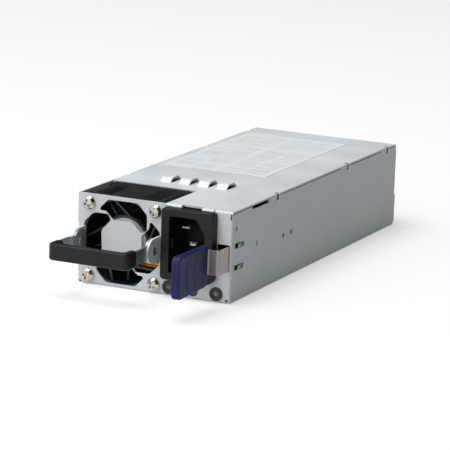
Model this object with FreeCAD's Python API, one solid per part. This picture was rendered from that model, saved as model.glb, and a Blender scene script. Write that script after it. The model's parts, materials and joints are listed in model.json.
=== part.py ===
"""Hot swap server power supply: one STEP file per piece, in millimetres.

X runs across the front (right is +X), Y runs from the front to the card edge at the rear,
Z is up. The origin is the centre of the case's bottom face.
"""
import FreeCAD
import Part
import math
import os

Vec = FreeCAD.Vector

# ---------------------------------------------------------------- case
CASE_WIDTH = 73.5
CASE_LENGTH = 185.0
FAN_SIZE = 40.0            # square fan frame; the case is exactly as tall as its fan
SHEET = 0.8                # tray and rear panel
COVER_SHEET = 0.8
BEND_INSIDE = 0.2
COVER_BEND = 1.0           # outside radius where the cover turns down over the front
REAR_NOSE_RADIUS = 3.5     # lead-in curve under the rear end
REAR_STEP = 1.0            # upper part of the rear end stands back by this much
REAR_STEP_HEIGHT = 15.0
REAR_LIP_HEIGHT = 4.6
REAR_SLOPE = 2.0           # the top's rear end slopes down over this length and depth
REAR_STRIP_LENGTH = 17.0   # slightly lower strip at the cover's rear end
REAR_STRIP_DROP = 0.12
SEAM = 0.2                 # visible gap between two sheets
EDGE_SEAM = 0.4            # side walls end this far below the cover
FIT = 0.1                  # clearance of a piece that drops into a sheet opening
CORNER_CUT = 2.4           # cut off lower left corner of the front
LAP_HEIGHT = 26.5          # above this the left front corner is lapped and square
TOP_NOTCH = (1.0, 3.5)     # width and depth of the relief at the front's upper right corner
LOW_NOTCH = 1.2
RELIEF = 0.9
RELIEF_HEIGHT = 0.6
FRONT_RELIEFS = (32.5, 27.5, 15.5, 4.5)  # right side of the case to each relief
SIDE_HOLES = ((3.5, 31.0), (24.6, 20.8))  # front wall and floor to each small hole
SIDE_HOLE_LENGTH = 1.7
SIDE_HOLE_HEIGHT = 2.4
EDGE_SLOT_START = 20.0
EDGE_SLOT_LENGTH = 17.0
EDGE_SLOT_DEPTH = 1.6

# ---------------------------------------------------------------- fan
FAN_DEPTH = 28.0
FAN_HOLE_INSET = 4.0
FAN_SIDE_GAP = 0.5
FAN_FLANGE = 3.4
FAN_CORNER = 2.2
FAN_WALL = 1.4             # thinnest place between the bore and the frame's side
BARREL_WALL = 2.6
FAN_POST = 3.6
FAN_HOLE = 1.75
MOTOR_RADIUS = 11.6
MOTOR_RECESS = 2.6         # motor base stands back from the frame's front by this much
MOTOR_BASE = 2.4
STRUTS = 5
STRUT_WIDTH = 0.9
STRUT_DEPTH = 2.0
STRUT_SWEEP = 34.0         # degrees between a strut's inner and outer end
BADGE_RADIUS = 10.4
BADGE_THICKNESS = 0.15
CIRCUIT_MARGIN = 0.8
CIRCUIT_THICKNESS = 0.8
BLADES = 5
BLADE_TIP_GAP = 0.6
BLADE_THICKNESS = 0.9
BLADE_SWING = 42.0         # degrees of turn from a blade's front edge to its rear edge
BLADE_TWIST = 12.0         # extra turn at the tip
HUB_RADIUS = 11.2
HUB_LENGTH = 18.0
HUB_WALL = 1.2
HUB_GAP = 0.6
SHAFT_RADIUS = 1.0
SHAFT_CLEARANCE = 0.05
BEARING_RADIUS = 2.6
SLEEVE_RADIUS = 3.4
MAGNET_THICKNESS = 1.2
STATOR_RADIUS = 8.2
STATOR_LENGTH = 9.0
STATOR_POLES = 6
WIRES = 3
WIRE_RADIUS = 0.5
WIRE_PITCH = 1.15
WIRE_DROP = 7.0            # fan axis down to the top wire
WIRE_OUT = 1.2             # side of the fan to the wires' middle, and their bends' radius
SCREW_HEAD = 3.0
SCREW_HEAD_HEIGHT = 2.0
SCREW_LENGTH = 10.5        # from under the head to the point
SCREW_TURNS = (12.0, -25.0, 40.0, 8.0)  # degrees each cross recess is turned

# ---------------------------------------------------------------- guard in the front wall
GUARD_RIM = 1.6            # side of the fan to the flat outer side of a guard opening
GUARD_HUB = 9.7
EAR_WIDTH = 11.0
EAR_THICKNESS = 1.0
EAR_INSET = 0.7            # an ear's inner face stands this far inside the guard opening

# ---------------------------------------------------------------- handle
PIVOT_REACH = 6.0          # front wall to the handle's pivot
PIVOT_SIDE_GAP = 0.1
PIVOT_RADIUS = 1.1
PIVOT_CLEARANCE = 0.05
RIVET_HEAD = 2.0
RIVET_INNER_HEAD = 1.6
RIVET_HEAD_THICKNESS = 0.4
BAIL_SHEET = 0.9
BAIL_WIDTH = 6.4
BAIL_EYE = 5.4
JOGGLE_START = 6.6         # pivot to the joggle in each leg
JOGGLE_LENGTH = 2.2
GRIP_REACH = 31.3          # front wall to the grip's outer face
GRIP_OVER = 1.6            # ear's inner face out to the grip's end
GRIP_HEIGHT = 7.4
GRIP_BAR = 3.4
GRIP_END = 3.8
GRIP_RETURN = 9.0
GRIP_CORNER = 3.0
GRIP_EDGE = 1.1

# ---------------------------------------------------------------- mains inlet
FAN_TO_INLET = 0.5
INLET_ABOVE = 7.9          # strip below the flange that holds the front row
INLET_PROUD = 4.0
INLET_TO_SIDE = 6.9        # right side of the case to the flange
INLET_TO_TOP = 0.9
INLET_CORNER = 1.6
INLET_WALL = 1.7
INLET_RIM_X = 4.05         # edge of the flange to the cavity, at the sides
INLET_RIM_Z = 3.25         # the same, above and below
CAVITY_DEPTH = 16.5
CAVITY_CHAMFER_X = 4.4
CAVITY_CHAMFER_Z = 6.0
CAVITY_CORNER = 1.0
INLET_BACK = 3.0
PIN_WIDTH = 4.0
PIN_THICKNESS = 2.0
PIN_SPACING = 7.0
PIN_SHIFT = 3.3            # line and neutral stand this far left of the middle
EARTH_SHIFT = 0.6          # earth stands this far right of it
PIN_TIP_DEPTH = 5.0
PIN_TIP = 0.75
TERMINAL_LENGTH = 7.5
TERMINAL_THICKNESS = 0.8
KEY_LENGTH = 8.5
KEY_HEIGHT = 4.6
KEY_RISE = 0.9
KEY_SETBACK = 2.4
CLIP_WIDTH = 8.6
CLIP_LENGTH = 2.2
CLIP_SINK = 1.2            # top of the case down to the clip

# ---------------------------------------------------------------- front row
ROW_HEIGHT = 3.85
RIVET_TO_FAN = 3.3         # first rivet, from the right side of the fan
RIVET_TO_SIDE = 6.5        # second rivet, from the right side of the case
BLACK_RIVET = 3.0
BLACK_RIVET_PROUD = 0.9
RIVET_DEPTH = 3.0          # front face of the wall back to the rivet's end
MANDREL = 1.25
RIVET_TUBE = 0.6           # wall of the black rivet round its mandrel
LENS_RADIUS = 2.5
LENS_LENGTH = 4.0

# ---------------------------------------------------------------- latch
STRAP = 0.5
STRAP_WIDTH = 10.8
STRAP_MIDDLE = 19.8
STRAP_WALL_GAP = 0.1
STRAP_REACH = 10.2         # front wall to the strap's outer bend
STRAP_STEP = 5.35          # sideways step into the paddle
STRAP_BEND = 1.0
STRAP_TAIL = 64.0          # front wall back to the strap's end
STRAP_TONGUE = 14.0        # length moulded into the paddle
SLOT_WIDTH = 6.0
SLOT_MARGIN = 0.45
PADDLE_LENGTH = 29.6
PADDLE_HEIGHT = 18.2
PADDLE_TIP_THICKNESS = 3.8
PADDLE_ROOT_THICKNESS = 1.7
PADDLE_MIDDLE = 18.6
PADDLE_END_RADIUS = 2.6
PADDLE_EDGE = 0.6
PADDLE_ROOT_GAP = 0.4      # strap's bend to the moulding
GROOVES = 3
GROOVE_START = 5.2         # paddle's tip to the first groove
GROOVE_PITCH = 8.0
GROOVE_RADIUS = 9.5
GROOVE_RAMP = 4.2
GROOVE_DEPTH = 0.6
BARB_START = 4.6           # front wall to the barb's locking edge
BARB_LENGTH = 6.8
BARB_PROUD = 1.1
BARB_WIDTH = 1.7
LATCH_RIVETS = (53.5, 62.0)
LATCH_RIVET_RADIUS = 1.2
LATCH_RIVET_SLACK = 0.5     # strap to the rivet heads, so that it can swing in
WINDOW_START = 3.5
WINDOW_LENGTH = 9.5
WINDOW_HEIGHT = 2.3

# ---------------------------------------------------------------- cover
FAN_OPENING_END = 30.6     # front wall back to the rear edge of the fan opening
BRIDGES = 4
BRIDGE_FIRST = 22.0        # from the left side of the case
BRIDGE_PITCH = 9.1
BRIDGE_WIDTH = 5.0
BRIDGE_START = 39.0
BRIDGE_LENGTH = 11.0
BRIDGE_RISE = 2.1
TAB_FROM_FRONT = 38.0      # front wall back to the first tab
TABS_FROM_REAR = (69.0, 20.5)  # rear end to the start of the other two
TAB_LENGTH = 7.3
TAB_DEPTH = 3.5
TAB_NOTCH = 3.4            # open length behind each tab
NOTCH_REACH = 1.8          # the same notch, in from the side of the cover
BRIDGE_SLOPE = 2.6
BRIDGE_SOFT = 2.0
LIP_NOTCH = (2.8, 0.7)     # length and depth of the small step beside the fan
LIP_RELIEF_INSET = 9.0
CLIP_NOTCH = 2.5
LABEL_WIDTH = 51.0
LABEL_LENGTH = 92.0
LABEL_INSET = 3.5
LABEL_TO_REAR = 18.0
LABEL_THICKNESS = 0.12

# ---------------------------------------------------------------- rear panel
VENT_ACROSS = 4.4          # hexagon, flat to flat
VENT_PITCH = 5.6
VENT_COLUMNS = 11
VENT_ROWS = 5
PANEL_FLANGE = 6.0

# ---------------------------------------------------------------- boards
BOARD_THICKNESS = 2.0
BOARD_HEIGHT = 4.0         # standoff between the floor and the board
BOARD_SIDE_GAP = 1.6
BOARD_START = 36.0         # front wall back to the board
BOARD_REAR_GAP = 4.0
TONGUE_WIDTH = 58.0
TONGUE_REACH = 8.5
TONGUE_CHAMFER = 0.6
PAD_THICKNESS = 0.1
PAD_LENGTH = 7.0
POWER_PADS = 8
POWER_PAD = 2.2
POWER_PITCH = 2.8
SIGNAL_PADS = 12
SIGNAL_PAD = 0.7
SIGNAL_PITCH = 1.0
INSULATOR = 0.4
STANDOFF_RADIUS = 2.8
STANDOFF_INSET = 6.0

# ---------------------------------------------------------------- layout on the board
# distances from the board's front edge to where each part starts (or to a ring's middle)
FILM_START = 6.0
FILM_GAP = 1.5
FILM_SIZE = (14.0, 18.0, 14.0)
RECTIFIER_START = 8.0
RECTIFIER_WIDTH = 12.0
RECTIFIER_DEPTH = 4.0
RECTIFIER_HEIGHT = 18.0
RECTIFIER_LIFT = 3.0
SIDE_ROOM = 4.0            # side wall to the nearest part
EMI_MIDDLE = 20.5
EMI_SHIFT = 2.0
EMI_RING = (10.5, 4.2, 13.0)  # outer and inner radius, height
BULK_START = 28.0
PFC_MIDDLE = 47.5
PFC_INSET = 19.0
PFC_RING = (14.0, 5.5, 17.0)
PRIMARY_START = 66.0
SINK_GAP = 2.0             # between the two heatsinks
SINK_TO_REAR = 17.0        # rear sink to the rear edge of the board
TRANSFORMER_TO_REAR = 15.0
OUTPUT_GAP = 5.0           # start of the rear sink to the output choke
OUTPUT_ROOM = 2.35         # output choke to the parts beside it
OUTPUT_RING = (9.0, 3.4, 12.0)
CAN_RADIUS = 12.5
CAN_LENGTH = 25.0
CAN_GAP = 1.0
SMALL_CAN = 4.0
SMALL_CAN_HEIGHT = 15.0
SMALL_CANS = 6
SMALL_CAN_PITCH = 9.6
SINK_PLATE = 2.0
SINK_FIN = 1.2
SINK_FINS = 5
SINK_REACH = 9.0
SINK_TOP_GAP = 6.0
PRIMARY_SINK_X = 2.0
SECONDARY_SINK_INSET = 10.0
PACKAGES = 3
PACKAGE_GAP = 1.0
PACKAGE_DEPTH = 4.4
PACKAGE_LIFT = 5.0
PACKAGE_HEIGHT = 9.0
PACKAGE_TAB = 5.0
TRANSFORMER_LENGTH = 30.0
TRANSFORMER_HEIGHT = 26.0
TRANSFORMER_LIMB = 7.0
TRANSFORMER_YOKE = 6.0
TRANSFORMER_MIDDLE = 6.0   # radius of the round middle limb
CARD_INSET = 12.75
CARD_THICKNESS = 1.2
CARD_HEIGHT = 24.0
CHIPS = 2
CHIP_GAP = 3.0
CHIP_LOW = 9.0
CHIP_HEIGHT = 9.0
CHIP_THICKNESS = 1.4

# ---------------------------------------------------------------- derived places
HEIGHT = FAN_SIZE
LEFT = -CASE_WIDTH / 2
RIGHT = CASE_WIDTH / 2
FRONT = -CASE_LENGTH / 2
REAR = CASE_LENGTH / 2
BEND = SHEET + BEND_INSIDE
WALL_TOP = HEIGHT - COVER_SHEET
REAR_TOP = REAR - REAR_STEP
FAN_X = LEFT + SHEET + FAN_SIDE_GAP + FAN_SIZE / 2
FAN_RIGHT = FAN_X + FAN_SIZE / 2
FAN_HOLE_SPACING = FAN_SIZE - 2 * FAN_HOLE_INSET
FAN_BORE = FAN_SIZE / 2 - FAN_WALL
FAN_BARREL = FAN_BORE + BARREL_WALL
GUARD_SPAN = FAN_SIZE / 2 - GUARD_RIM
EAR_OFFSET = GUARD_SPAN - EAR_INSET
GRIP_LENGTH = 2 * (EAR_OFFSET + GRIP_OVER)
FAN_Z = HEIGHT / 2
FAN_FRONT = FRONT + SHEET
FAN_BACK = FAN_FRONT + FAN_DEPTH
MOTOR_FRONT = FAN_FRONT + MOTOR_RECESS
MOTOR_BACK = MOTOR_FRONT + MOTOR_BASE
HUB_FRONT = MOTOR_BACK + CIRCUIT_THICKNESS + HUB_GAP
HUB_BACK = HUB_FRONT + HUB_LENGTH
BLADE_TIP = FAN_BORE - BLADE_TIP_GAP
PIVOT_Y = FRONT - PIVOT_REACH
LEG_FACE = EAR_OFFSET - PIVOT_SIDE_GAP
INLET_FLANGE_WIDTH = RIGHT - INLET_TO_SIDE - FAN_RIGHT - FAN_TO_INLET
INLET_FLANGE_HEIGHT = HEIGHT - INLET_TO_TOP - INLET_ABOVE
CAVITY_WIDTH = INLET_FLANGE_WIDTH - 2 * INLET_RIM_X
CAVITY_HEIGHT = INLET_FLANGE_HEIGHT - 2 * INLET_RIM_Z
INLET_X = RIGHT - INLET_TO_SIDE - INLET_FLANGE_WIDTH / 2
INLET_Z = HEIGHT - INLET_TO_TOP - INLET_FLANGE_HEIGHT / 2
INLET_FACE = FRONT - INLET_PROUD
INLET_END = INLET_FACE + CAVITY_DEPTH + INLET_BACK
BODY_WIDTH = CAVITY_WIDTH + 2 * INLET_WALL
BODY_HEIGHT = CAVITY_HEIGHT + 2 * INLET_WALL
STRAP_OUTER = RIGHT - SHEET - STRAP_WALL_GAP
STRAP_INNER = STRAP_OUTER - STRAP
PADDLE_X = STRAP_OUTER - STRAP_STEP - STRAP / 2
PADDLE_BACK = FRONT - STRAP_REACH - STRAP / 2
RIVETS_X = (FAN_RIGHT + RIVET_TO_FAN, RIGHT - RIVET_TO_SIDE)
LENS_X = sum(RIVETS_X) / len(RIVETS_X)
PADDLE_TIP = PADDLE_BACK - PADDLE_LENGTH
BOARD_BOTTOM = SHEET + BOARD_HEIGHT
BOARD_TOP = BOARD_BOTTOM + BOARD_THICKNESS
BOARD_FRONT = FRONT + BOARD_START
BOARD_REAR = REAR - BOARD_REAR_GAP
SINK_FRONT = BOARD_FRONT + PRIMARY_START
SINK_LENGTH = (BOARD_REAR - SINK_TO_REAR - SINK_FRONT - SINK_GAP) / 2
REAR_SINK_FRONT = SINK_FRONT + SINK_LENGTH + SINK_GAP
REAR_SINK_X = RIGHT - SECONDARY_SINK_INSET
CARD_X = RIGHT - CARD_INSET
PACKAGE_WIDTH = SINK_LENGTH / PACKAGES - PACKAGE_GAP
OUTPUT_X = REAR_SINK_X + SINK_PLATE / 2 - SINK_REACH - OUTPUT_ROOM - OUTPUT_RING[0]
TRANSFORMER_LEFT = LEFT + SHEET + SIDE_ROOM
TRANSFORMER_RIGHT = OUTPUT_X - OUTPUT_RING[0] - OUTPUT_ROOM
TRANSFORMER_X = (TRANSFORMER_LEFT + TRANSFORMER_RIGHT) / 2
TRANSFORMER_REAR = BOARD_REAR - TRANSFORMER_TO_REAR
PANEL_REAR = REAR - SHEET - FIT
TABS_AT = (FRONT + TAB_FROM_FRONT, REAR - TABS_FROM_REAR[0], REAR - TABS_FROM_REAR[1])
FAN_SCREWS_AT = [
    (FAN_X + side * FAN_HOLE_SPACING / 2, FAN_Z + rise * FAN_HOLE_SPACING / 2)
    for side in (-1, 1)
    for rise in (-1, 1)
]


# ---------------------------------------------------------------- drawing helpers
def on_plane(plane, u, v, level):
    """Point with coordinates u, v on a plane at the given level along its normal."""
    if plane == "xy":
        return Vec(u, v, level)
    if plane == "xz":
        return Vec(u, level, v)
    return Vec(level, u, v)


def corner_arc(before, corner, after, radius):
    """Start, middle and end of the arc that rounds a corner of an outline."""
    to_before = (before - corner).normalize()
    to_after = (after - corner).normalize()
    half = to_before.getAngle(to_after) / 2
    reach = radius / math.tan(half)
    middle_way = (to_before + to_after).normalize()
    centre = corner + middle_way * (radius / math.sin(half))
    return (
        corner + to_before * reach,
        centre - middle_way * radius,
        corner + to_after * reach,
    )


def outline(plane, points, level):
    """Closed wire through points (u, v) or (u, v, corner radius)."""
    corners = [on_plane(plane, point[0], point[1], level) for point in points]
    radii = [point[2] if len(point) > 2 else 0.0 for point in points]
    count = len(points)
    edges = []
    ends = []
    for index, corner in enumerate(corners):
        if radii[index] > 0:
            start, middle, end = corner_arc(
                corners[index - 1], corner, corners[(index + 1) % count], radii[index]
            )
            ends.append((start, end, Part.Arc(start, middle, end).toShape()))
        else:
            ends.append((corner, corner, None))
    for index, (start, end, arc) in enumerate(ends):
        if arc:
            edges.append(arc)
        following = ends[(index + 1) % count][0]
        if (following - end).Length > 1e-6:
            edges.append(Part.makeLine(end, following))
    return Part.Wire(edges)


def prism(plane, points, start, end):
    """Solid of an outline drawn at start and carried along the plane's normal to end."""
    first = on_plane(plane, 0, 0, start)
    last = on_plane(plane, 0, 0, end)
    return Part.Face(outline(plane, points, start)).extrude(last - first)


def rectangle(u0, u1, v0, v1, radius=0.0):
    return [(u0, v0, radius), (u1, v0, radius), (u1, v1, radius), (u0, v1, radius)]


def box(x0, x1, y0, y1, z0, z1):
    return Part.makeBox(x1 - x0, y1 - y0, z1 - z0, Vec(x0, y0, z0))


def rod_x(radius, x0, x1, y, z):
    return Part.makeCylinder(radius, x1 - x0, Vec(x0, y, z), Vec(1, 0, 0))


def rod_y(radius, x, y0, y1, z):
    return Part.makeCylinder(radius, y1 - y0, Vec(x, y0, z), Vec(0, 1, 0))


def rod_z(radius, x, y, z0, z1):
    return Part.makeCylinder(radius, z1 - z0, Vec(x, y, z0), Vec(0, 0, 1))


def turned_y(profile, x, z):
    """Solid of revolution about a line along Y; profile holds (radius, y[, corner radius])."""
    wire = outline("xy", [(x + point[0],) + tuple(point[1:]) for point in profile], z)
    return Part.Face(wire).revolve(Vec(x, 0, z), Vec(0, 1, 0), 360)


def turned_x(profile, y, z):
    """Solid of revolution about a line along X; profile holds (x, radius[, corner radius])."""
    points = [(point[0], y + point[1]) + tuple(point[2:]) for point in profile]
    return Part.Face(outline("xy", points, z)).revolve(Vec(0, y, z), Vec(1, 0, 0), 360)


def turned_z(profile, x, y):
    """Solid of revolution about a line along Z; profile holds (radius, z[, corner radius])."""
    points = [(x + point[0],) + tuple(point[1:]) for point in profile]
    return Part.Face(outline("xz", points, y)).revolve(Vec(x, y, 0), Vec(0, 0, 1), 360)


def rounded(shape, radius, chosen):
    """Fillet the edges for which chosen(edge) is true."""
    edges = [edge for edge in shape.Edges if chosen(edge)]
    return shape.makeFillet(radius, edges)


def along(axis, edge):
    """True for a straight edge parallel to the axis 0, 1 or 2."""
    if not isinstance(edge.Curve, (Part.Line, Part.LineSegment)):
        return False
    direction = edge.tangentAt(edge.FirstParameter)
    return abs(abs(direction[axis]) - 1) < 1e-6


def all_of(shapes):
    """One shape from several; touching ones grow together."""
    whole = shapes[0]
    if len(shapes) > 1:
        whole = whole.fuse(shapes[1:])
    return whole.removeSplitter()


def group(shapes):
    """Several separate solids kept in one node."""
    return Part.makeCompound(shapes)


def without(shape, cutters):
    return shape.cut(cutters).removeSplitter()


# ---------------------------------------------------------------- chassis tray
def folded_block(inset, radius, top, rear):
    """Space inside the tray's sheet (or its outside with no inset), with bent edges."""
    nose = REAR_NOSE_RADIUS - inset
    across = [
        (LEFT + inset, inset, radius),
        (RIGHT - inset, inset, radius),
        (RIGHT - inset, top),
        (LEFT + inset, top),
    ]
    side = [
        (FRONT + inset, inset, radius),
        (rear, inset, nose),
        (rear, top),
        (FRONT + inset, top),
    ]
    plan = [
        (LEFT + inset, FRONT + inset, radius),
        (RIGHT - inset, FRONT + inset, radius),
        (RIGHT - inset, rear),
        (LEFT + inset, rear),
    ]
    block = prism("xz", across, FRONT, REAR)
    block = block.common(prism("yz", side, LEFT, RIGHT))
    return block.common(prism("xy", plan, 0, top))


def guard_opening():
    """Opening of the pinwheel guard above the fan axis; its outline is in shares of the span."""
    points = [
        (-0.647, 0.717, 0.049),
        (-0.375, 1.000, 0.130),
        (0.402, 1.000, 0.174),
        (0.652, 0.739, 0.163),
        (0.652, 0.375, 0.065),
        (0.505, 0.288, 0.054),
        (0.250, 0.538, 0.174),
        (-0.239, 0.511, 0.130),
        (-0.435, 0.712, 0.109),
    ]
    span = GUARD_SPAN
    moved = [(FAN_X + span * u, FAN_Z + span * v, span * corner) for u, v, corner in points]
    opening = prism("xz", moved, FRONT - 1, FAN_FRONT)
    hub = rod_y(GUARD_HUB, FAN_X, FRONT - 1, FAN_FRONT, FAN_Z)
    return opening.cut(hub)


def guard_openings():
    openings = []
    for quarter in range(4):
        opening = guard_opening()
        opening.rotate(Vec(FAN_X, 0, FAN_Z), Vec(0, 1, 0), 90 * quarter)
        openings.append(opening)
    return openings


def handle_ear(side):
    """Tab folded out of the guard that carries one end of the handle."""
    inner = FAN_X + side * EAR_OFFSET
    outer = inner + side * EAR_THICKNESS
    half = EAR_WIDTH / 2
    profile = [
        (FRONT + SHEET, FAN_Z - half),
        (FRONT + SHEET, FAN_Z + half),
        (PIVOT_Y - half, FAN_Z + half, half - 0.01),
        (PIVOT_Y - half, FAN_Z - half, half - 0.01),
    ]
    ear = prism("yz", profile, min(inner, outer), max(inner, outer))
    return ear.cut(rod_x(PIVOT_RADIUS, min(inner, outer), max(inner, outer), PIVOT_Y, FAN_Z))


def tray_front_cutters():
    """What is cut through the front wall."""
    body_left = INLET_X - BODY_WIDTH / 2 - FIT
    body_right = INLET_X + BODY_WIDTH / 2 + FIT
    body_low = INLET_Z - BODY_HEIGHT / 2 - FIT
    body_high = INLET_Z + BODY_HEIGHT / 2 + FIT
    slot_half = STRAP_WIDTH / 2 + SLOT_MARGIN
    slot_right = RIGHT - SHEET
    clip_half = CLIP_WIDTH / 2 + FIT
    cutters = [
        box(body_left, body_right, FRONT - 1, FAN_FRONT, body_low, body_high),
        box(slot_right - SLOT_WIDTH, slot_right, FRONT - 1, FRONT + BEND,
            STRAP_MIDDLE - slot_half, STRAP_MIDDLE + slot_half),
        box(INLET_X - clip_half, INLET_X + clip_half, FRONT - 1, FAN_FRONT, body_high - 1, HEIGHT),
        rod_y(LENS_RADIUS + FIT, LENS_X, FRONT - 1, FAN_FRONT, ROW_HEIGHT),
    ]
    for x in RIVETS_X:
        cutters.append(rod_y(MANDREL + RIVET_TUBE, x, FRONT - 1, FAN_FRONT, ROW_HEIGHT))
    for x, z in FAN_SCREWS_AT:
        cutters.append(rod_y(FAN_HOLE + 0.25, x, FRONT - 1, FAN_FRONT, z))
    return cutters


def tray_edge_cutters():
    """Bend reliefs and the cut corner along the edges of the front."""
    width, depth = TOP_NOTCH
    cutters = [
        box(RIGHT - width, RIGHT + 1, FRONT - 1, FRONT + BEND, HEIGHT - depth, HEIGHT),
        box(RIGHT - BEND - LOW_NOTCH, RIGHT - BEND, FRONT - 1, FRONT + BEND,
            SHEET, SHEET + LOW_NOTCH),
        prism("xz", [(LEFT, 0), (LEFT + 1.5 * CORNER_CUT, 0), (LEFT, CORNER_CUT)],
              FRONT - 1, FRONT + BEND),
    ]
    for inset in FRONT_RELIEFS:
        x = RIGHT - inset
        cutters.append(box(x, x + RELIEF, FRONT - 1, FRONT + BEND, 0, RELIEF_HEIGHT))
    return cutters


def tray_side_cutters():
    """Windows, holes and top edge notches of the side walls."""
    wall = (RIGHT - SHEET, RIGHT)
    slot = FRONT + EDGE_SLOT_START
    cutters = [
        box(*wall, slot, slot + EDGE_SLOT_LENGTH, WALL_TOP - EDGE_SLOT_DEPTH, WALL_TOP),
    ]
    for reach, low in SIDE_HOLES:
        hole = rectangle(FRONT + reach, FRONT + reach + SIDE_HOLE_LENGTH,
                         low, low + SIDE_HOLE_HEIGHT, SIDE_HOLE_LENGTH * 0.45)
        cutters.append(prism("yz", hole, *wall))
    for barb in latch_barb_heights():
        window = rectangle(FRONT + WINDOW_START, FRONT + WINDOW_START + WINDOW_LENGTH,
                           barb - WINDOW_HEIGHT / 2, barb + WINDOW_HEIGHT / 2, 0.3)
        cutters.append(prism("yz", window, *wall))
    for reach in LATCH_RIVETS:
        cutters.append(rod_x(LATCH_RIVET_RADIUS, *wall, FRONT + reach, STRAP_MIDDLE))
    for start in TABS_AT:
        for low in (LEFT, RIGHT - SHEET):
            cutters.append(box(low, low + SHEET, start - SEAM, start + TAB_LENGTH + TAB_NOTCH,
                               HEIGHT - TAB_DEPTH, WALL_TOP))
    return cutters


def rear_slope(depth):
    """Start and end (y, z) of the top's sloping rear end, at a depth under its outer face."""
    eighth = math.pi / 8
    reach = depth * math.sin(2 * eighth)
    start = (REAR_TOP - REAR_SLOPE - depth * math.tan(eighth), HEIGHT - depth)
    end = (REAR_TOP - reach, HEIGHT - REAR_SLOPE - reach)
    return start, end


def chassis_tray():
    """One folded sheet: floor, side walls, front wall with guard, and handle ears."""
    outside = folded_block(0.0, BEND, HEIGHT, REAR)
    inside = folded_block(SHEET, BEND_INSIDE, HEIGHT, REAR - SHEET)
    tray = outside.cut(inside)
    lap = box(LEFT, LEFT + BEND, FRONT, FRONT + BEND, LAP_HEIGHT, HEIGHT)
    tray = tray.fuse(lap.cut(inside))
    fan_half = FAN_SIZE / 2 + FAN_SIDE_GAP
    side_top = WALL_TOP - EDGE_SEAM
    cover_start = FAN_X + fan_half
    opening_end = FRONT + FAN_OPENING_END - SEAM
    slope_start, slope_end = rear_slope(COVER_SHEET + EDGE_SEAM)
    cutters = [
        box(LEFT, RIGHT, opening_end, REAR, side_top, HEIGHT),
        box(cover_start, RIGHT, FRONT + SHEET, opening_end, side_top, HEIGHT),
        box(cover_start, RIGHT, FRONT - 1, FRONT + SHEET, HEIGHT - COVER_BEND, HEIGHT),
        prism("yz", [slope_start, slope_end, (REAR, slope_end[1]), (REAR, HEIGHT)], LEFT, RIGHT),
        box(LEFT, RIGHT, REAR_TOP, REAR, REAR_STEP_HEIGHT, HEIGHT),
        box(LEFT + SHEET, RIGHT - SHEET, REAR - SHEET, REAR, REAR_LIP_HEIGHT, HEIGHT),
        box(FAN_X - fan_half, FAN_X + fan_half, FAN_FRONT, FAN_BACK + FAN_SIDE_GAP, 0, BEND),
    ]
    cutters += guard_openings() + tray_front_cutters() + tray_edge_cutters()
    cutters += tray_side_cutters()
    tray = tray.cut(cutters)
    return all_of([tray, handle_ear(-1), handle_ear(1)])


# ---------------------------------------------------------------- cover
def bridge(x):
    """Strip of the cover lanced along both sides and pushed up into an arch."""
    start = FRONT + BRIDGE_START
    end = start + BRIDGE_LENGTH
    crown = HEIGHT + BRIDGE_RISE
    slope = BRIDGE_SLOPE
    soft = BRIDGE_SOFT
    profile = [
        (start, WALL_TOP),
        (start + 0.4, WALL_TOP, 0.3),
        (start + slope, crown - COVER_SHEET, soft),
        (end - slope, crown - COVER_SHEET, soft),
        (end - 0.4, WALL_TOP, 0.3),
        (end, WALL_TOP),
        (end, HEIGHT),
        (end - slope, crown, soft),
        (start + slope, crown, soft),
        (start, HEIGHT),
    ]
    return prism("yz", profile, x - BRIDGE_WIDTH / 2, x + BRIDGE_WIDTH / 2)


def cover_plate():
    """Sheet whose front edge turns down over the front wall and whose rear end slopes down."""
    outer = rear_slope(0.0)
    inner = rear_slope(COVER_SHEET)
    side = [
        (FRONT, HEIGHT - COVER_BEND),
        (FRONT, HEIGHT, COVER_BEND),
        outer[0],
        outer[1],
        inner[1],
        inner[0],
        (FRONT + COVER_SHEET, WALL_TOP, COVER_BEND - COVER_SHEET),
        (FRONT + COVER_SHEET, HEIGHT - COVER_BEND),
    ]
    return prism("yz", side, LEFT, RIGHT)


def cover_tabs():
    tabs = []
    for start in TABS_AT:
        for low in (LEFT, RIGHT - SHEET):
            tabs.append(box(low, low + SHEET, start, start + TAB_LENGTH,
                            HEIGHT - TAB_DEPTH, HEIGHT - REAR_STRIP_DROP))
    return tabs


def top_cover():
    opening_right = FAN_RIGHT + FAN_SIDE_GAP
    clip_half = CLIP_WIDTH / 2 + FAN_SIDE_GAP
    crown = HEIGHT + 1
    lip_relief = RIGHT - LIP_RELIEF_INSET
    step_length, step_depth = LIP_NOTCH
    cutters = [
        box(LEFT, opening_right, FRONT, FRONT + FAN_OPENING_END, 0, crown),
        box(INLET_X - clip_half, INLET_X + clip_half, FRONT, FRONT + CLIP_NOTCH, 0, crown),
        box(opening_right, opening_right + step_length, FRONT, FRONT + step_depth,
            0, HEIGHT - step_depth),
        box(lip_relief, lip_relief + RELIEF, FRONT, FRONT + RELIEF, 0, crown),
        box(LEFT, RIGHT, REAR - REAR_STRIP_LENGTH, REAR, HEIGHT - REAR_STRIP_DROP, crown),
    ]
    for start in TABS_AT:
        slot = start + TAB_LENGTH
        for low in (LEFT, RIGHT - NOTCH_REACH):
            cutters.append(box(low, low + NOTCH_REACH, slot, slot + TAB_NOTCH, 0, crown))
    bridges = []
    for index in range(BRIDGES):
        x = LEFT + BRIDGE_FIRST + index * BRIDGE_PITCH
        cutters.append(box(x - BRIDGE_WIDTH / 2, x + BRIDGE_WIDTH / 2, FRONT + BRIDGE_START,
                           FRONT + BRIDGE_START + BRIDGE_LENGTH, 0, crown))
        bridges.append(bridge(x))
    return all_of([cover_plate().cut(cutters)] + bridges + cover_tabs())


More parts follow.
